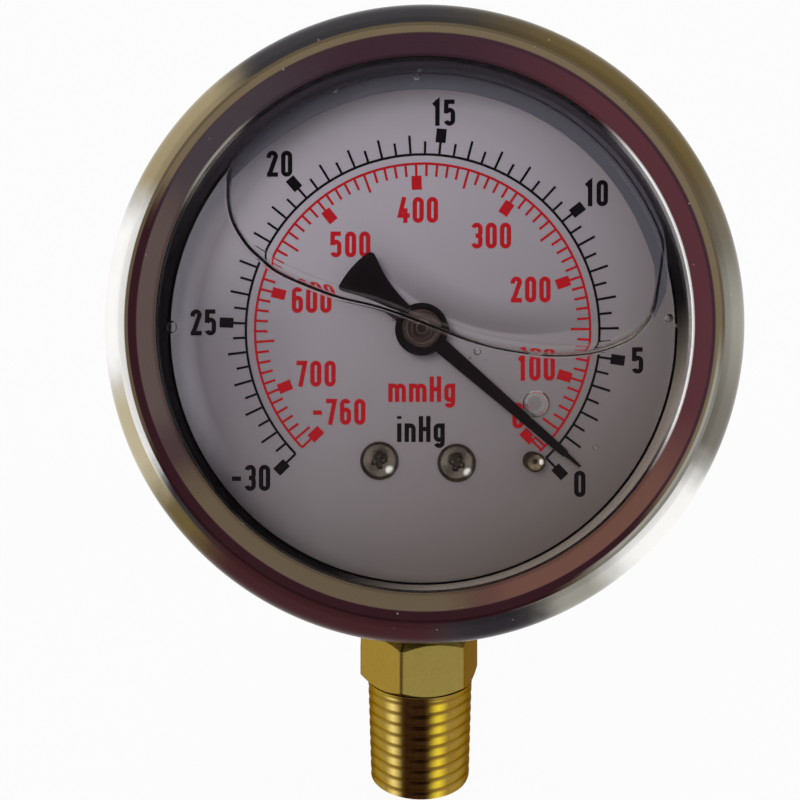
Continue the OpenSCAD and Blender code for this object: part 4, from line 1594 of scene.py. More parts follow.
@dataclass
class Filling:
    """The clear liquid behind the window, with its air bubble and small bubbles.

    The bubble's wall is a meniscus: it meets the glass at a fine edge and turns away from it.
    Places are (x, height above the axis) in millimetres.
    """

    front: float = WINDOW_BACK + 0.01
    cling: float = 0.004
    outer_r: float = 30.06
    hub: Point2 = (2.0, 12.0)
    samples: int = 300
    wall_steps: int = 12
    depth: float = 1.08
    edge: tuple[EdgeRow, ...] = (
        # x, z, width of the meniscus, depth of the meniscus
        (-21.9, 18.9, 0.6, 1.08),
        (-22.35, 16.8, 0.8, 1.08),
        (-22.35, 14.3, 0.85, 1.08),
        (-21.75, 11.9, 0.9, 1.08),
        (-20.3, 9.5, 1.1, 1.08),
        (-18.8, 8.0, 1.4, 1.08),
        (-16.8, 6.35, 1.5, 1.08),
        (-13.75, 4.9, 1.5, 1.08),
        (-9.75, 3.4, 1.5, 1.08),
        (-5.65, 2.4, 1.4, 1.08),
        (-2.5, 1.35, 1.2, 1.08),
        (2.85, -0.7, 1.2, 1.08),
        (6.45, -1.95, 1.4, 1.08),
        (9.9, -2.75, 1.5, 1.08),
        (14.05, -3.3, 1.5, 1.08),
        (17.15, -3.3, 1.4, 1.08),
        (20.25, -2.85, 1.3, 1.08),
        (23.3, -1.7, 1.2, 1.1),
        (24.6, -0.75, 1.0, 1.08),
        (25.8, 0.6, 0.9, 1.08),
        (26.6, 2.3, 0.8, 1.08),
        (26.95, 4.4, 0.7, 1.08),
        (27.3, 6.8, 0.6, 1.08),
        (27.5, 9.4, 0.6, 1.08),
    )
    edge_steps: int = 12
    top_r: float = 29.15
    top_width: float = 0.5
    top_steps: int = 36
    film: tuple[Point3, ...] = (
        # angle, inner radius, outer radius of the painted dark band along the top
        (2.5, 26.3, 26.5), (8.5, 26.95, 28.1), (15.0, 27.5, 28.9), (22.0, 27.45, 29.6),
        (40.0, 27.55, 29.75), (65.0, 27.55, 29.75), (90.0, 27.5, 29.75), (115.0, 27.4, 29.75),
        (128.0, 27.45, 29.7), (136.0, 27.6, 29.3), (140.5, 27.75, 28.8), (143.0, 28.0, 28.15),
    )
    film_front: float = -13.86
    film_back: float = -13.5
    film_chamfer: float = 0.12
    film_steps: int = 160
    bead_front: float = -13.88
    bead_r: float = 0.16
    bead_steps: int = 14
    bead_grows_from: float = 20.0
    bead_growth: float = 0.008
    bead_gap: float = 0.6
    pill: float = 2.5
    pill_edge: float = 9.0
    bubble_gap: float = 0.1
    bubbles: tuple[EdgeRow, ...] = (
        # x, z, radius across, radius in depth
        (13.0, -8.7, 1.55, 0.42),
        (6.3, -2.75, 0.42, 0.3),
        (5.5, -3.4, 0.16, 0.14),
        (7.1, -3.6, 0.14, 0.12),
        (-28.7, 0.1, 0.75, 0.4),
        (27.9, 1.0, 0.5, 0.36),
        (28.6, 0.2, 0.3, 0.24),
        (-0.6, 28.6, 0.45, 0.3),
        (-0.2, 29.3, 0.3, 0.24),
        (-9.9, 27.0, 0.3, 0.24),
        (12.6, -12.4, 0.18, 0.16),
        (19.6, -13.6, 0.3, 0.24),
        (-3.2, 0.9, 0.2, 0.16),
    )

    def outline(self) -> list[EdgeRow]:
        """Samples the bubble's edge all round, on a smooth curve through its rows.

        Returns:
            Rows of x, z, width and depth, anticlockwise, evenly spaced by angle about hub.
        """
        rows = [np.array(row, float) for row in self.edge]
        first = math.degrees(math.atan2(rows[-1][1], rows[-1][0]))
        last = math.degrees(math.atan2(rows[0][1], rows[0][0]))
        for k in range(1, self.top_steps):
            x, z = polar(self.top_r, first + (last - first) * k / self.top_steps)
            rows.append(np.array((x, z, self.top_width, self.depth)))
        dense: list[np.ndarray] = []
        n = len(rows)
        for i in range(n):
            p0, p1, p2, p3 = rows[i - 1], rows[i], rows[(i + 1) % n], rows[(i + 2) % n]
            for s in range(self.edge_steps):
                t = s / self.edge_steps
                dense.append(0.5 * (
                    2 * p1 + (p2 - p0) * t + (2 * p0 - 5 * p1 + 4 * p2 - p3) * t * t
                    + (3 * p1 - p0 - 3 * p2 + p3) * t ** 3
                ))
        pairs = sorted(
            (math.atan2(d[1] - self.hub[1], d[0] - self.hub[0]) % math.tau, tuple(d))
            for d in dense
        )
        angles = np.array([p[0] for p in pairs])
        values = np.array([p[1] for p in pairs])
        want = np.linspace(0, math.tau, self.samples, endpoint=False)
        columns = [np.interp(want, angles, values[:, c], period=math.tau) for c in range(4)]
        return [tuple(float(c[i]) for c in columns) for i in range(self.samples)]

    @staticmethod
    def inward(outline: Sequence[EdgeRow], i: int) -> np.ndarray:
        """Direction across the outline at its row i, to the left of its run."""
        before, after = outline[i - 1], outline[(i + 1) % len(outline)]
        return leftward(unit(np.array((after[0] - before[0], after[1] - before[1]))))

    def on_rim(self, x: float, z: float) -> Point2:
        """Finds where the ray from the bubble's middle through a point meets the rim.

        Args:
            x, z: the point.

        Returns:
            The place on the rim.
        """
        hx, hz = self.hub
        dx, dz = x - hx, z - hz
        length = math.hypot(dx, dz)
        dx, dz = dx / length, dz / length
        along = hx * dx + hz * dz
        reach = -along + math.sqrt(along * along - (hx * hx + hz * hz - self.outer_r ** 2))
        return (hx + dx * reach, hz + dz * reach)

    def build(self, finishes: Finishes) -> list[Piece]:
        """Makes the liquid, the painted dark band along its top, the bead and the small bubbles.

        Args:
            finishes: the materials.

        Returns:
            The dressed pieces.
        """
        outline = self.outline()
        liquid = dress(self.liquid(outline), finishes.liquid)
        film = dress(self.painted_dark_band(), finishes.film)
        # The painted band casts no shadow and takes no part in diffuse light.
        film.visible_shadow = False
        film.visible_diffuse = False
        made = [liquid, film, dress(self.bead(outline), finishes.liquid)]
        for k, (x, z, across, deep) in enumerate(self.bubbles):
            made.append(dress(self.bubble(f"air_bubble_{k + 1}", x, z, across, deep),
                              finishes.liquid))
        return made

    def liquid(self, outline: Sequence[EdgeRow]) -> Piece:
        """Makes the liquid as a ring round the bubble.

        Args:
            outline: the bubble's edge.

        Returns:
            The liquid.
        """
        maker = MeshMaker("filling_liquid")
        near = self.front + self.cling
        walls: list[list[Point3]] = []
        for i, (x, z, width, depth) in enumerate(outline):
            inward = self.inward(outline, i)
            points: list[Point3] = []
            for s in range(self.wall_steps + 1):
                phi = math.pi / 2 * s / self.wall_steps
                reach = width * (1 - math.cos(phi))
                rise = depth * (1 - math.sin(phi))
                points.append((x + inward[0] * reach, near + rise,
                               AXIS_HEIGHT + z + inward[1] * reach))
            walls.append(points)
        rows = [maker.loop(w[s] for w in walls) for s in range(self.wall_steps + 1)]
        rim_back: list[Point3] = []
        rim_front: list[Point3] = []
        for x, z, _, depth in outline:
            rx, rz = self.on_rim(x, z)
            rim_back.append((rx, near + depth, AXIS_HEIGHT + rz))
            rim_front.append((rx, self.front, AXIS_HEIGHT + rz))
        back_row = maker.loop(rim_back)
        front_row = maker.loop(rim_front)
        lip = maker.loop((w[-1][0], self.front, w[-1][2]) for w in walls)
        maker.sweep([*rows, lip, front_row, back_row, rows[0]])
        return maker.build(50.0)

    def painted_dark_band(self) -> Piece:
        """Makes a dark grey band between the window and the gasket along the top, painted in for
        the dark reflection that the clinging meniscus shows there.
        """
        maker = MeshMaker("painted_meniscus_band")
        angles = np.linspace(self.film[0][0], self.film[-1][0], self.film_steps)
        table = np.array(self.film)
        inner, outer = (np.interp(angles, table[:, 0], table[:, c]) for c in (1, 2))
        front, back, cut = self.film_front, self.film_back, self.film_chamfer
        rows: list[list[int]] = []
        for a, r0, r1 in zip(angles, inner, outer):
            section = ((r0, front), (r0 + cut, back), (r1 - cut, back), (r1, front))
            rows.append(maker.loop(
                (polar(r, a)[0], y, AXIS_HEIGHT + polar(r, a)[1]) for r, y in section))
        maker.tube(rows)
        return maker.build(50.0)

    def bead(self, outline: Sequence[EdgeRow]) -> Piece:
        """Makes the rounded bead along the meniscus' back edge, below the film.

        Args:
            outline: the bubble's edge.

        Returns:
            The bead.
        """
        maker = MeshMaker("meniscus_bead")
        n = len(outline)
        chosen = [i for i, row in enumerate(outline)
                  if math.hypot(row[0], row[1]) < self.top_r - self.bead_gap]
        start = next(k for k, i in enumerate(chosen) if (i - 1) % n not in chosen)
        turns = [math.tau * k / self.bead_steps for k in range(self.bead_steps)]
        rows: list[list[int]] = []
        for i in chosen[start:] + chosen[:start]:
            x, z, _, _ = outline[i]
            side = self.inward(outline, i)
            grown = max(0.0, math.hypot(x, z) - self.bead_grows_from)
            radius = self.bead_r + self.bead_growth * grown
            middle = self.bead_front + radius
            rows.append(maker.loop(
                (x + side[0] * radius * math.cos(a), middle + radius * math.sin(a),
                 AXIS_HEIGHT + z + side[1] * radius * math.cos(a)) for a in turns))
        maker.tube(rows)
        return maker.build(60.0)

    def bubble(self, name: str, x: float, z: float, across: float, deep: float) -> Piece:
        """Makes a flattened bubble whose faces look inward, because the air is inside.

        Args:
            name: its name.
            x, z: its middle.
            across: its radius as the reader sees it.
            deep: its radius in depth.

        Returns:
            The bubble.
        """
        bm = bmesh.new()
        bmesh.ops.create_uvsphere(bm, u_segments=48, v_segments=32, radius=1.0)
        middle = self.front + deep + self.bubble_gap
        for vert in bm.verts:
            x0, y0, z0 = vert.co
            reach = math.hypot(x0, z0)
            fall = max(0.0, 1 - reach ** self.pill) ** (1 / self.pill)
            rise = math.copysign(fall, y0) * deep * min(1.0, abs(y0) * self.pill_edge)
            vert.co = ((x + x0 * across) * MM, (middle + rise) * MM,
                       (AXIS_HEIGHT + z + z0 * across) * MM)
        bmesh.ops.reverse_faces(bm, faces=bm.faces)
        mesh = bpy.data.meshes.new(name)
        bm.to_mesh(mesh)
        bm.free()
        mesh.shade_smooth()
        return add_object(name, mesh)


def curve(start: Point2, middle: Point2, end: Point2, shares: Iterable[float]) -> list[Point2]:
    """Points of a quadratic curve.

    Args:
        start, end: its ends.
        middle: the point that pulls it.
        shares: where along it the points lie, from 0 to 1.

    Returns:
        The points.
    """
    return [tuple((1 - t) ** 2 * a + 2 * t * (1 - t) * b + t * t * c
                  for a, b, c in zip(start, middle, end)) for t in shares]


@dataclass
class Pointer:
    """Pointer with a stepped tip, a disc and a fan-shaped counterweight, and its turned hub."""

    front: float = -12.9
    thickness: float = 0.4
    length: float = 24.3
    tip_half: float = 0.15
    step: float = 22.0
    step_run: float = 0.15
    step_halves: Point2 = (0.28, 0.44)
    root_half: float = 0.95
    disc_r: float = 3.1
    waist_half: float = 1.2
    waist_pull: Point2 = (-4.1, 0.12)
    fan_r: float = 10.9
    fan_half: float = 18.0
    fan_round: float = 1.0
    hub_r: float = 2.25
    hub_front: float = -13.8
    hub_gap: float = 0.5
    hub_rings: tuple[Point2, ...] = (
        # radius and depth behind the front: riveted centre, recess, ring, groove, ring, edge
        (0.0, -0.12), (0.22, -0.12), (0.24, -0.09), (0.54, -0.09), (0.56, 0.08), (0.70, 0.09),
        (1.15, 0.08), (1.20, 0.11), (1.26, 0.07), (1.62, 0.04), (1.68, 0.07), (1.78, 0.02),
        (2.0, 0.0), (2.12, 0.03), (2.21, 0.12),
    )
    hub_edge: float = 0.25
    hub_neck_r: float = 1.3
    hub_foot_r: float = 1.6

    def outline(self) -> list[Point2]:
        """Draws the blade along +x, before it is turned to its rest angle.

        Returns:
            Its corners, anticlockwise.
        """
        half: list[Point2] = [(self.length, self.tip_half),
                              (self.step + self.step_run, self.step_halves[0]),
                              (self.step, self.step_halves[1])]
        start = math.degrees(math.asin(self.root_half / self.disc_r)) - 1.0
        end = 180 - math.degrees(math.asin(self.waist_half / self.disc_r))
        half += arc_points((0, 0), self.disc_r, start, end, 30)
        waist = half[-1]
        corner = polar(self.fan_r, 180 - self.fan_half)
        pull = (waist[0] + self.waist_pull[0], waist[1] + self.waist_pull[1])
        flank = curve(waist, pull, corner, [k / 12 for k in range(1, 13)])
        slope = unit(np.array(flank[-2]) - np.array(corner)) * self.fan_round
        before = (corner[0] + slope[0], corner[1] + slope[1])
        arc_start = 180 - self.fan_half + math.degrees(self.fan_round / self.fan_r)
        after = polar(self.fan_r, arc_start)
        half += [p for p in flank if math.dist(p, corner) > self.fan_round + 0.1]
        half += [before] + curve(before, corner, after, (0.2, 0.4, 0.6, 0.8, 1.0))
        half += arc_points((0, 0), self.fan_r, arc_start, 180, 6)[1:-1]
        return half + [polar(self.fan_r, 180)] + [(x, -z) for x, z in reversed(half)]

    def blade(self) -> Piece:
        """Makes the pressed blade, with softened edges."""
        c, s = polar(1.0, REST_ANGLE)
        turned = [(x * c - z * s, x * s + z * c) for x, z in self.outline()]
        maker = MeshMaker("pointer_blade")
        maker.tube([maker.loop((x, y, AXIS_HEIGHT + z) for x, z in turned)
                    for y in (self.front, self.front + self.thickness)])
        obj = maker.build(None)
        bevel(obj, 0.06, 2, 50)
        shade_smooth(obj, 35)
        return obj

    def hub(self) -> Piece:
        """Makes the turned bush with its rings, edge and riveted centre."""
        back = self.front + self.thickness
        foot = DIAL_FACE - self.hub_gap
        profile = [(r, self.hub_front + y) for r, y in self.hub_rings]
        profile += [(self.hub_r, self.hub_front + self.hub_edge), (self.hub_r, self.front),
                    (self.hub_neck_r, self.front), (self.hub_neck_r, back),
                    (self.hub_foot_r, back), (self.hub_foot_r, foot), (0.0, foot)]
        return lathe("pointer_hub_bush", profile, segments=128, smooth=22)

    def build(self, finishes: Finishes) -> list[Piece]:
        """Makes the dressed blade and hub."""
        return [dress(self.blade(), finishes.pointer), dress(self.hub(), finishes.hub)]


def soft_step(value: float, ends: Point2) -> float:
    """Smooth step from 0 at the first end to 1 at the second."""
    t = min(1.0, max(0.0, (value - ends[0]) / (ends[1] - ends[0])))
    return t * t * (3 - 2 * t)


@dataclass
class DialFixings:
    """The dial's two pan-head screws with cross recesses, and the zero stop."""

    face: float = DIAL_FACE
    spacing: float = 9.2
    drop: float = 15.6
    turn: float = -1.5
    head_r: float = 2.28
    head_h: float = 1.2
    dome: Point2 = (0.42, 0.34)
    edge_rings: tuple[float, ...] = (0.93, 0.955, 0.975, 0.99, 1.0)
    shank_r: float = 0.98
    shank_depth: float = 3.9
    steps: int = 120
    recess_turns: tuple[float, float] = (12.0, -20.0)
    recess_depth: float = 0.6
    arm_side: Point2 = (0.16, 0.34)
    arm_end: Point2 = (0.66, 0.95)
    arm_rise: Point2 = (0.3, 1.1)
    arm_rise_share: float = 0.35
    recess_middle: Point2 = (0.28, 0.62)
    stop_at: Point2 = polar(20.3, -49.6)
    stop_r: float = 1.14
    stop_front: float = -13.6
    stop_flatness: float = 0.62
    stop_steps: int = 14
    stop_shank_r: float = 0.78
    stop_shank_depth: float = 1.0

    def places(self) -> list[Point2]:
        """Where the two screws stand, from the gauge's axis."""
        c, s = polar(1.0, self.turn)
        pair = ((side * self.spacing / 2, -self.drop) for side in (-1, 1))
        return [(x * c - z * s, x * s + z * c) for x, z in pair]

    def recess(self, u: float, v: float) -> float:
        """Presses the cross recess into a screw's head.

        Args:
            u, v: a point's distances from the head's middle, along the cross's two arms.

        Returns:
            The recess's depth there.
        """
        u, v = abs(u), abs(v)
        arm = max(
            (1 - soft_step(u, self.arm_side)) * (1 - soft_step(v, self.arm_end)),
            (1 - soft_step(v, self.arm_side)) * (1 - soft_step(u, self.arm_end)),
        )
        rising = 1 - self.arm_rise_share * soft_step(max(u, v), self.arm_rise)
        middle = 1 - soft_step(math.hypot(u, v), self.recess_middle)
        return self.recess_depth * max(arm * rising, middle)

    def screw(self, name: str, at: Point2, turn: float) -> Piece:
        """Makes one pan-head screw as a fine dome with its recess pressed in.

        Args:
            name: its name.
            at: its middle, from the gauge's axis.
            turn: the recess's turn in degrees.

        Returns:
            The screw.
        """
        maker = MeshMaker(name)
        radii = [0.001] + [self.head_r * k / 44 for k in range(1, 41)]
        radii += [self.head_r * share for share in self.edge_rings]
        c, s = polar(1.0, turn)
        rows: list[list[int]] = []
        for r in radii:
            edge = r / self.head_r
            height = self.head_h * (1 - self.dome[0] * edge ** 2 - self.dome[1] * edge ** 9)
            row: list[Point3] = []
            for i in range(self.steps):
                x, z = polar(r, 360 * i / self.steps)
                depth = self.recess(x * c + z * s, -x * s + z * c)
                row.append((at[0] + x, self.face - height + depth, AXIS_HEIGHT + at[1] + z))
            rows.append(maker.loop(row))
        for r, depth in ((self.head_r, 0.0), (self.shank_r, 0.0),
                         (self.shank_r, self.shank_depth)):
            rows.append(maker.loop(front_ring(at, r, self.face + depth, self.steps)))
        maker.tube(rows)
        return maker.build(38)

    def stop(self) -> Piece:
        """Makes the domed stop pin."""
        r, foot = self.stop_r, self.face + self.stop_shank_depth
        turns = [math.pi / 2 * k / self.stop_steps for k in range(1, self.stop_steps + 1)]
        dome = [(r * math.sin(a), self.stop_front + r * self.stop_flatness * (1 - math.cos(a)))
                for a in turns]
        profile = [(0.0, self.stop_front), *dome, (r, self.face),
                   (self.stop_shank_r, self.face), (self.stop_shank_r, foot), (0.0, foot)]
        return lathe("zero_stop", profile, centre=self.stop_at, segments=72, smooth=40)

    def build(self, finishes: Finishes) -> tuple[list[Piece], Piece]:
        """Makes the dressed screws and the stop.

        Args:
            finishes: the materials.

        Returns:
            The two screws, and the stop.
        """
        screws = [
            dress(self.screw(f"dial_screw_{k + 1}", at, self.recess_turns[k]), finishes.nickel)
            for k, at in enumerate(self.places())
        ]
        return screws, dress(self.stop(), finishes.stop)


@dataclass
class Stem:
    """Brass stem: taper thread with a true helix, hexagon and neck, on the socket's own block.

    The slopes of the thread's start and of the hexagon's bevels are radius for each millimetre
    of height.
    """

    thread_length: float = 13.4
    end_r: float = 6.65
    taper: float = 1 / 32
    start_drop: float = 0.95
    start_slope: float = 2.4
    pitch: float = THREAD_PITCH
    depth: float = 0.17
    root_gap: float = 0.15
    groove_power: float = 1.8
    fade_length: float = 1.4
    fade_shift: float = 0.25
    phase: float = THREAD_PHASE
    hex_half: float = 7.145
    hex_top: float = 20.2
    hex_turn: float = 12.4
    hex_corner_cut: float = 0.05
    bevel_r: float = 6.85
    bevel_gap: float = 0.1
    lower_slope: float = 1.4
    upper_slope: float = 1.732
    neck_r: float = 6.5
    cut: float = 22.5
    port_r: float = 2.5
    port_chamfer: float = 0.45
    port_depth: float = 8.0
    passage_r: float = 1.5
    steps: int = 240
    thread_rows: int = 150
    lower_bevel: float = 1.05
    flat_step: float = 0.9
    upper_bevel: float = 0.68
    hair: float = 0.0001

    def radius(self, angle: float, z: float, upper: bool) -> float:
        """Radius of the stem's skin.

        Args:
            angle: direction in degrees.
            z: height in millimetres.
            upper: takes the piece above, where z lies on a step.

        Returns:
            The radius in millimetres.
        """
        if z < self.thread_length or (z == self.thread_length and not upper):
            crest = min(self.end_r + z * self.taper,
                        self.end_r - self.start_drop + z * self.start_slope)
            if crest <= self.end_r - self.depth:
                return crest
            turn = (z / self.pitch - angle / 360 + self.phase) % 1.0
            groove = self.depth * (0.5 - 0.5 * math.cos(math.tau * turn)) ** self.groove_power
            runout = (self.thread_length - z) / self.fade_length - self.fade_shift
            groove *= min(1.0, max(0.0, runout))
            root = self.end_r - self.depth - self.root_gap + z * self.taper
            return max(crest - groove, root)
        if z < self.hex_top or (z == self.hex_top and not upper):
            sector = (angle - self.hex_turn) % 60.0 - 30.0
            flat = self.hex_half / math.cos(math.radians(sector))
            corner = self.hex_half / math.cos(math.radians(30)) - self.hex_corner_cut
            low = self.bevel_r + (z - self.thread_length) * self.lower_slope
            high = self.bevel_r + self.bevel_gap + (self.hex_top - z) * self.upper_slope
            return min(flat, corner, low, high)
        return self.neck_r

    def heights(self) -> list[tuple[float, bool]]:
        """Lists the heights of the skin's rows.

        Returns:
            Each height, and whether it belongs to the piece above a step.
        """
        low, top = self.thread_length, self.hex_top
        below = [low * k / self.thread_rows for k in range(self.thread_rows + 1)]
        above = [low + self.hair]
        above += [low + self.lower_bevel * k / 20 for k in range(1, 21)]
        above += [low + self.lower_bevel + k * self.flat_step for k in range(1, 5)]
        above += [top - self.upper_bevel * k / 14 for k in range(14, 0, -1)]
        above += [top - self.hair, top, top + 0.6, self.cut]
        return [(z, False) for z in below] + [(z, True) for z in above]

    def skin(self) -> MeshMaker:
        """Lays the outside and the bore up to the cut.

        Returns:
            The closed skin's rows and faces.
        """
        maker = MeshMaker("brass_socket")
        angles = [self.hex_turn + 360 * i / self.steps for i in range(self.steps)]

        def ring(radii: Iterable[float], z: float) -> list[int]:
            """Adds one row at a height, from its radius at each angle."""
            return maker.loop((*polar(r, a), z) for r, a in zip(radii, angles))

        outside = [ring([self.radius(a, z, upper) for a in angles], z)
                   for z, upper in self.heights()]
        bore = [ring([r] * self.steps, z) for r, z in (
            (self.port_r + self.port_chamfer, 0.0), (self.port_r, self.port_chamfer),
            (self.port_r, self.port_depth), (self.passage_r, self.port_depth),
            (self.passage_r, self.cut),
        )]
        maker.sweep(outside)
        maker.sweep([outside[0], *bore, outside[-1]])
        return maker

    def build(self, solid: Piece, finishes: Finishes) -> Piece:
        """Makes the dressed socket.

        Args:
            solid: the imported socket, whose upper part is copied.
            finishes: the materials.

        Returns:
            The stem joined to a copy of the block above the cut.
        """
        stem = self.skin().build(34)
        bm = bmesh.new()
        bm.from_mesh(solid.data)
        bmesh.ops.bisect_plane(
            bm, geom=bm.verts[:] + bm.edges[:] + bm.faces[:], clear_inner=True,
            plane_co=(0, 0, self.cut * MM), plane_no=(0, 0, 1))
        mesh = bpy.data.meshes.new("socket_block")
        bm.to_mesh(mesh)
        bm.free()
        block = add_object("socket_block", mesh)
        shade_smooth(block, 34)
        return dress(join([stem, block]), finishes.stem)


def join(parts: Sequence[Piece]) -> Piece:
    """Joins several objects into the first one and returns it."""
    bm = bmesh.new()
    for part in parts:
        bm.from_mesh(part.data)
    mesh = bpy.data.meshes.new(parts[0].name)
    bm.to_mesh(mesh)
    bm.free()
    swap_mesh(parts[0], mesh)
    for part in parts[1:]:
        bpy.data.objects.remove(part, do_unlink=True)
    return parts[0]


@dataclass
class Studio:
    """Camera, floor with its backdrop, room and lamp. The camera's frame is in pixels."""

    camera_at: Point3 = (-1.35, -93.4, 51.16)
    yaw: float = 0.839
    focal: float = 683.0
    frame: float = 800.0
    sensor: float = 36.0
    near: float = 2.0
    lamp_at: Point3 = (-110.0, -400.0, 120.0)
    lamp_aim: Point3 = (0.0, -8.0, 50.0)
    lamp_size: float = 170.0
    lamp_power: float = 1.0
    floor_z: float = -0.6
    floor_front: float = -75.0
    floor_back: float = 260.0
    floor_half: float = 1100.0
    sweep_r: float = 160.0
    wall_top: float = 900.0
    floor_tone: Colour = (0.86, 0.86, 0.87)
    floor_glow: float = 0.95
    white: Colour = (1.0, 1.0, 1.0)
    dark_middle: Point2 = (0.018, 0.11)
    dark_reach: float = 0.405
    dark_edge: float = 0.02
    dark_gloss: Colour = (0.045, 0.035, 0.038)
    room: Colour = (0.92, 0.92, 0.97)
    room_strength: float = 0.55

    def camera(self) -> None:
        """Sets the camera at the photograph's viewing angle."""
        data = bpy.data.cameras.new("view")
        data.sensor_width = self.sensor
        data.lens = self.sensor * self.focal / self.frame
        data.clip_start = self.near * MM
        obj = add_object("view", data)
        obj.location = Vector(self.camera_at) * MM
        obj.rotation_euler = (math.pi / 2, 0.0, math.radians(self.yaw))
        bpy.context.scene.camera = obj

    def lamp(self) -> None:
        """Hangs a soft lamp in front of the dial, which polished metal doesn't mirror."""
        data = bpy.data.lights.new("key_softbox", "AREA")
        data.shape = "RECTANGLE"
        data.size = data.size_y = self.lamp_size * MM
        data.energy = self.lamp_power
        obj = add_object("key_softbox", data)
        obj.location = Vector(self.lamp_at) * MM
        aim = Vector(self.lamp_aim) * MM - obj.location
        obj.rotation_euler = aim.to_track_quat("-Z", "Y").to_euler()
        obj.visible_glossy = False
        obj.visible_transmission = False

    def floor(self) -> None:
        """Lays a pale floor that turns up into a backdrop."""
        maker = MeshMaker("floor_sweep")
        bend = arc_points((self.floor_back, self.floor_z + self.sweep_r), self.sweep_r, -90, 0, 16)
        section: list[Point2] = [(self.floor_front, self.floor_z), (self.floor_back, self.floor_z),
                                 *bend, (self.floor_back + self.sweep_r, self.wall_top)]
        maker.sweep([maker.loop([(-self.floor_half, y, z), (self.floor_half, y, z)])
                     for y, z in section], closed=False)
        obj = maker.build(60.0)
        m = MaterialMaker("pale_floor")
        m.set(Base_Color=self.floor_tone, Roughness=0.9)
        path = m.node("ShaderNodeLightPath").outputs
        seen = m.maths("MAXIMUM", path["Is Camera Ray"],
                       m.maths("MAXIMUM", path["Is Glossy Ray"], path["Is Transmission Ray"]))
        glow = m.node("ShaderNodeEmission")
        m.give(self.white, glow.inputs["Color"])
        m.give(1.0, glow.inputs["Strength"])
        m.link(m.choose(m.times(seen, self.floor_glow), m.shader.outputs["BSDF"],
                        glow.outputs["Emission"]), m.output.inputs["Surface"])
        dress(obj, m.material)

    def world(self) -> None:
        """Fills the room with even light, white behind the gauge and dim in front of it."""
        world = bpy.data.worlds.new("room")
        bpy.context.scene.world = world
        world.use_nodes = True
        nodes = world.node_tree.nodes
        n = NodeBench(world.node_tree)

        def background(colour: object, strength: float = 1.0) -> Socket:
            """Adds light of one colour, or of the colour from a socket."""
            made = n.node("ShaderNodeBackground")
            n.give(colour, made.inputs["Color"])
            n.give(strength, made.inputs["Strength"])
            return made.outputs["Background"]

        split = n.node("ShaderNodeSeparateXYZ")
        n.link(n.node("ShaderNodeTexCoord").outputs["Generated"], split.inputs["Vector"])
        way = split.outputs
        ahead = n.maths("MAXIMUM", n.times(way["Y"], -1.0), 0.001)
        across, rise = (n.maths("SUBTRACT", n.maths("DIVIDE", way[axis], ahead), middle)
                        for axis, middle in zip("XZ", self.dark_middle))
        edge = n.spread(n.length(across, rise), self.dark_reach,
                        self.dark_reach + self.dark_edge, 0.0, 1.0, "SMOOTHSTEP")
        path = n.node("ShaderNodeLightPath").outputs
        mirrored = n.maths("MAXIMUM", path["Is Glossy Ray"], path["Is Transmission Ray"])
        light = n.choose(mirrored, background(self.room, self.room_strength),
                         background(n.mix(edge, self.dark_gloss, self.white)))
        light = n.choose(path["Is Camera Ray"], light, background(self.white))
        n.link(light, nodes["World Output"].inputs["Surface"])
        nodes.remove(nodes["Background"])

    def build(self) -> None:
        """Builds the whole studio."""
        self.camera()
        self.world()
        self.floor()
        self.lamp()
        bpy.context.scene.view_settings.view_transform = "Standard"


NODE_FINISH: dict[str, str] = {
    "case": "case", "window": "window", "window_gasket": "gasket", "fill_plug": "rubber",
    "socket": "brass", "neck_o_ring": "rubber", "socket_screws": "steel", "restrictor": "brass",
    "bourdon_tube": "bronze", "tube_tip": "brass", "tip_pin": "steel", "link": "brass",
    "link_screw": "steel", "bottom_plate": "brass", "top_plate": "brass", "plate_posts": "brass",
    "plate_screws": "steel", "sector": "brass", "sector_arbor": "steel", "pinion": "steel",
    "hairspring_collet": "brass", "hairspring": "bronze", "hairspring_stud": "brass",
    "dial": "dial", "inhg_scale": "black_print", "mmhg_scale": "red_print",
    "dial_posts": "brass", "dial_screws": "nickel", "stop_pin": "stop",
    "pointer": "pointer", "pointer_hub": "hub", "bezel": "bezel",
}


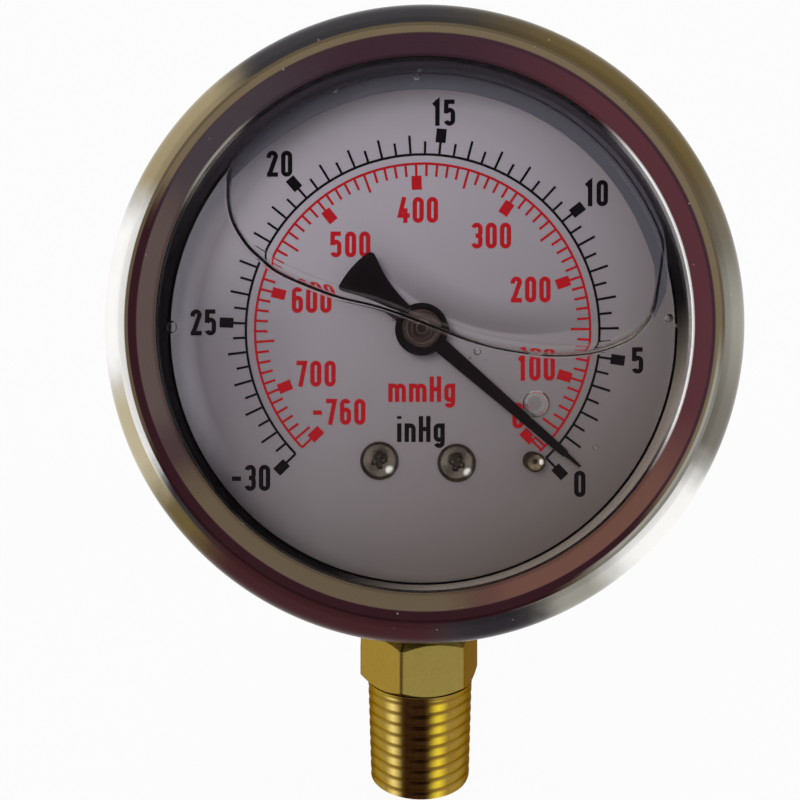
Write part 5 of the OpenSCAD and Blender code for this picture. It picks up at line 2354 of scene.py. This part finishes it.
class Gauge:
    """The whole gauge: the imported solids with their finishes, and the pieces built on them."""

    def __init__(self, frame: dict) -> None:
        """Takes the loaded frame."""
        self.nodes: dict[str, Piece] = frame["nodes"]
        self.finishes = Finishes()

    def dress_nodes(self) -> None:
        """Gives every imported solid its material."""
        for name, obj in self.nodes.items():
            dress(obj, getattr(self.finishes, NODE_FINISH[name]))

    def place(self, obj: Piece, body: Body, slot: str, *nodes: str) -> None:
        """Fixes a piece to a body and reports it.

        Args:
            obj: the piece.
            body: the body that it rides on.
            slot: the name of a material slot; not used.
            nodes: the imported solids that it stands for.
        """
        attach(obj, body.value)
        if nodes:
            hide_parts(*nodes)
        log.info("%s: %d faces", obj.name, len(obj.data.polygons))

    def build(self) -> None:
        """Builds and places every piece."""
        f = self.finishes
        self.dress_nodes()
        self.place(Housing().build(f), Body.HOUSING, "bezel_steel", "bezel")
        self.place(Stem().build(self.nodes["socket"], f), Body.HOUSING, "brass", "socket")
        black, red = DialPrint().build(f)
        self.place(black, Body.HOUSING, "print_black")
        self.place(red, Body.HOUSING, "print_red")
        press = PrintedScale()
        for name, node, ink, slot in (
            ("scale_inhg_print", "inhg_scale", f.black_print, "print_black"),
            ("scale_mmhg_print", "mmhg_scale", f.red_print, "print_red"),
        ):
            self.place(press.build(name, self.nodes[node], ink), Body.HOUSING, slot, node)
        screws, stop = DialFixings().build(f)
        for screw in screws:
            self.place(screw, Body.HOUSING, "dial_screw", "dial_screws")
        self.place(stop, Body.HOUSING, "stop_brass", "stop_pin")
        blade, hub = Pointer().build(f)
        self.place(blade, Body.POINTER, "pointer_black", "pointer")
        self.place(hub, Body.POINTER, "hub_grey", "pointer_hub")
        for piece in Filling().build(f):
            self.place(piece, Body.HOUSING, "window")


def main() -> None:
    """Loads the frame, builds the gauge and the studio."""
    logging.basicConfig(level=logging.INFO, format="%(name)s: %(message)s")
    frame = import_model()
    Gauge(frame).build()
    Studio().build()


if __name__ == "__main__":
    main()
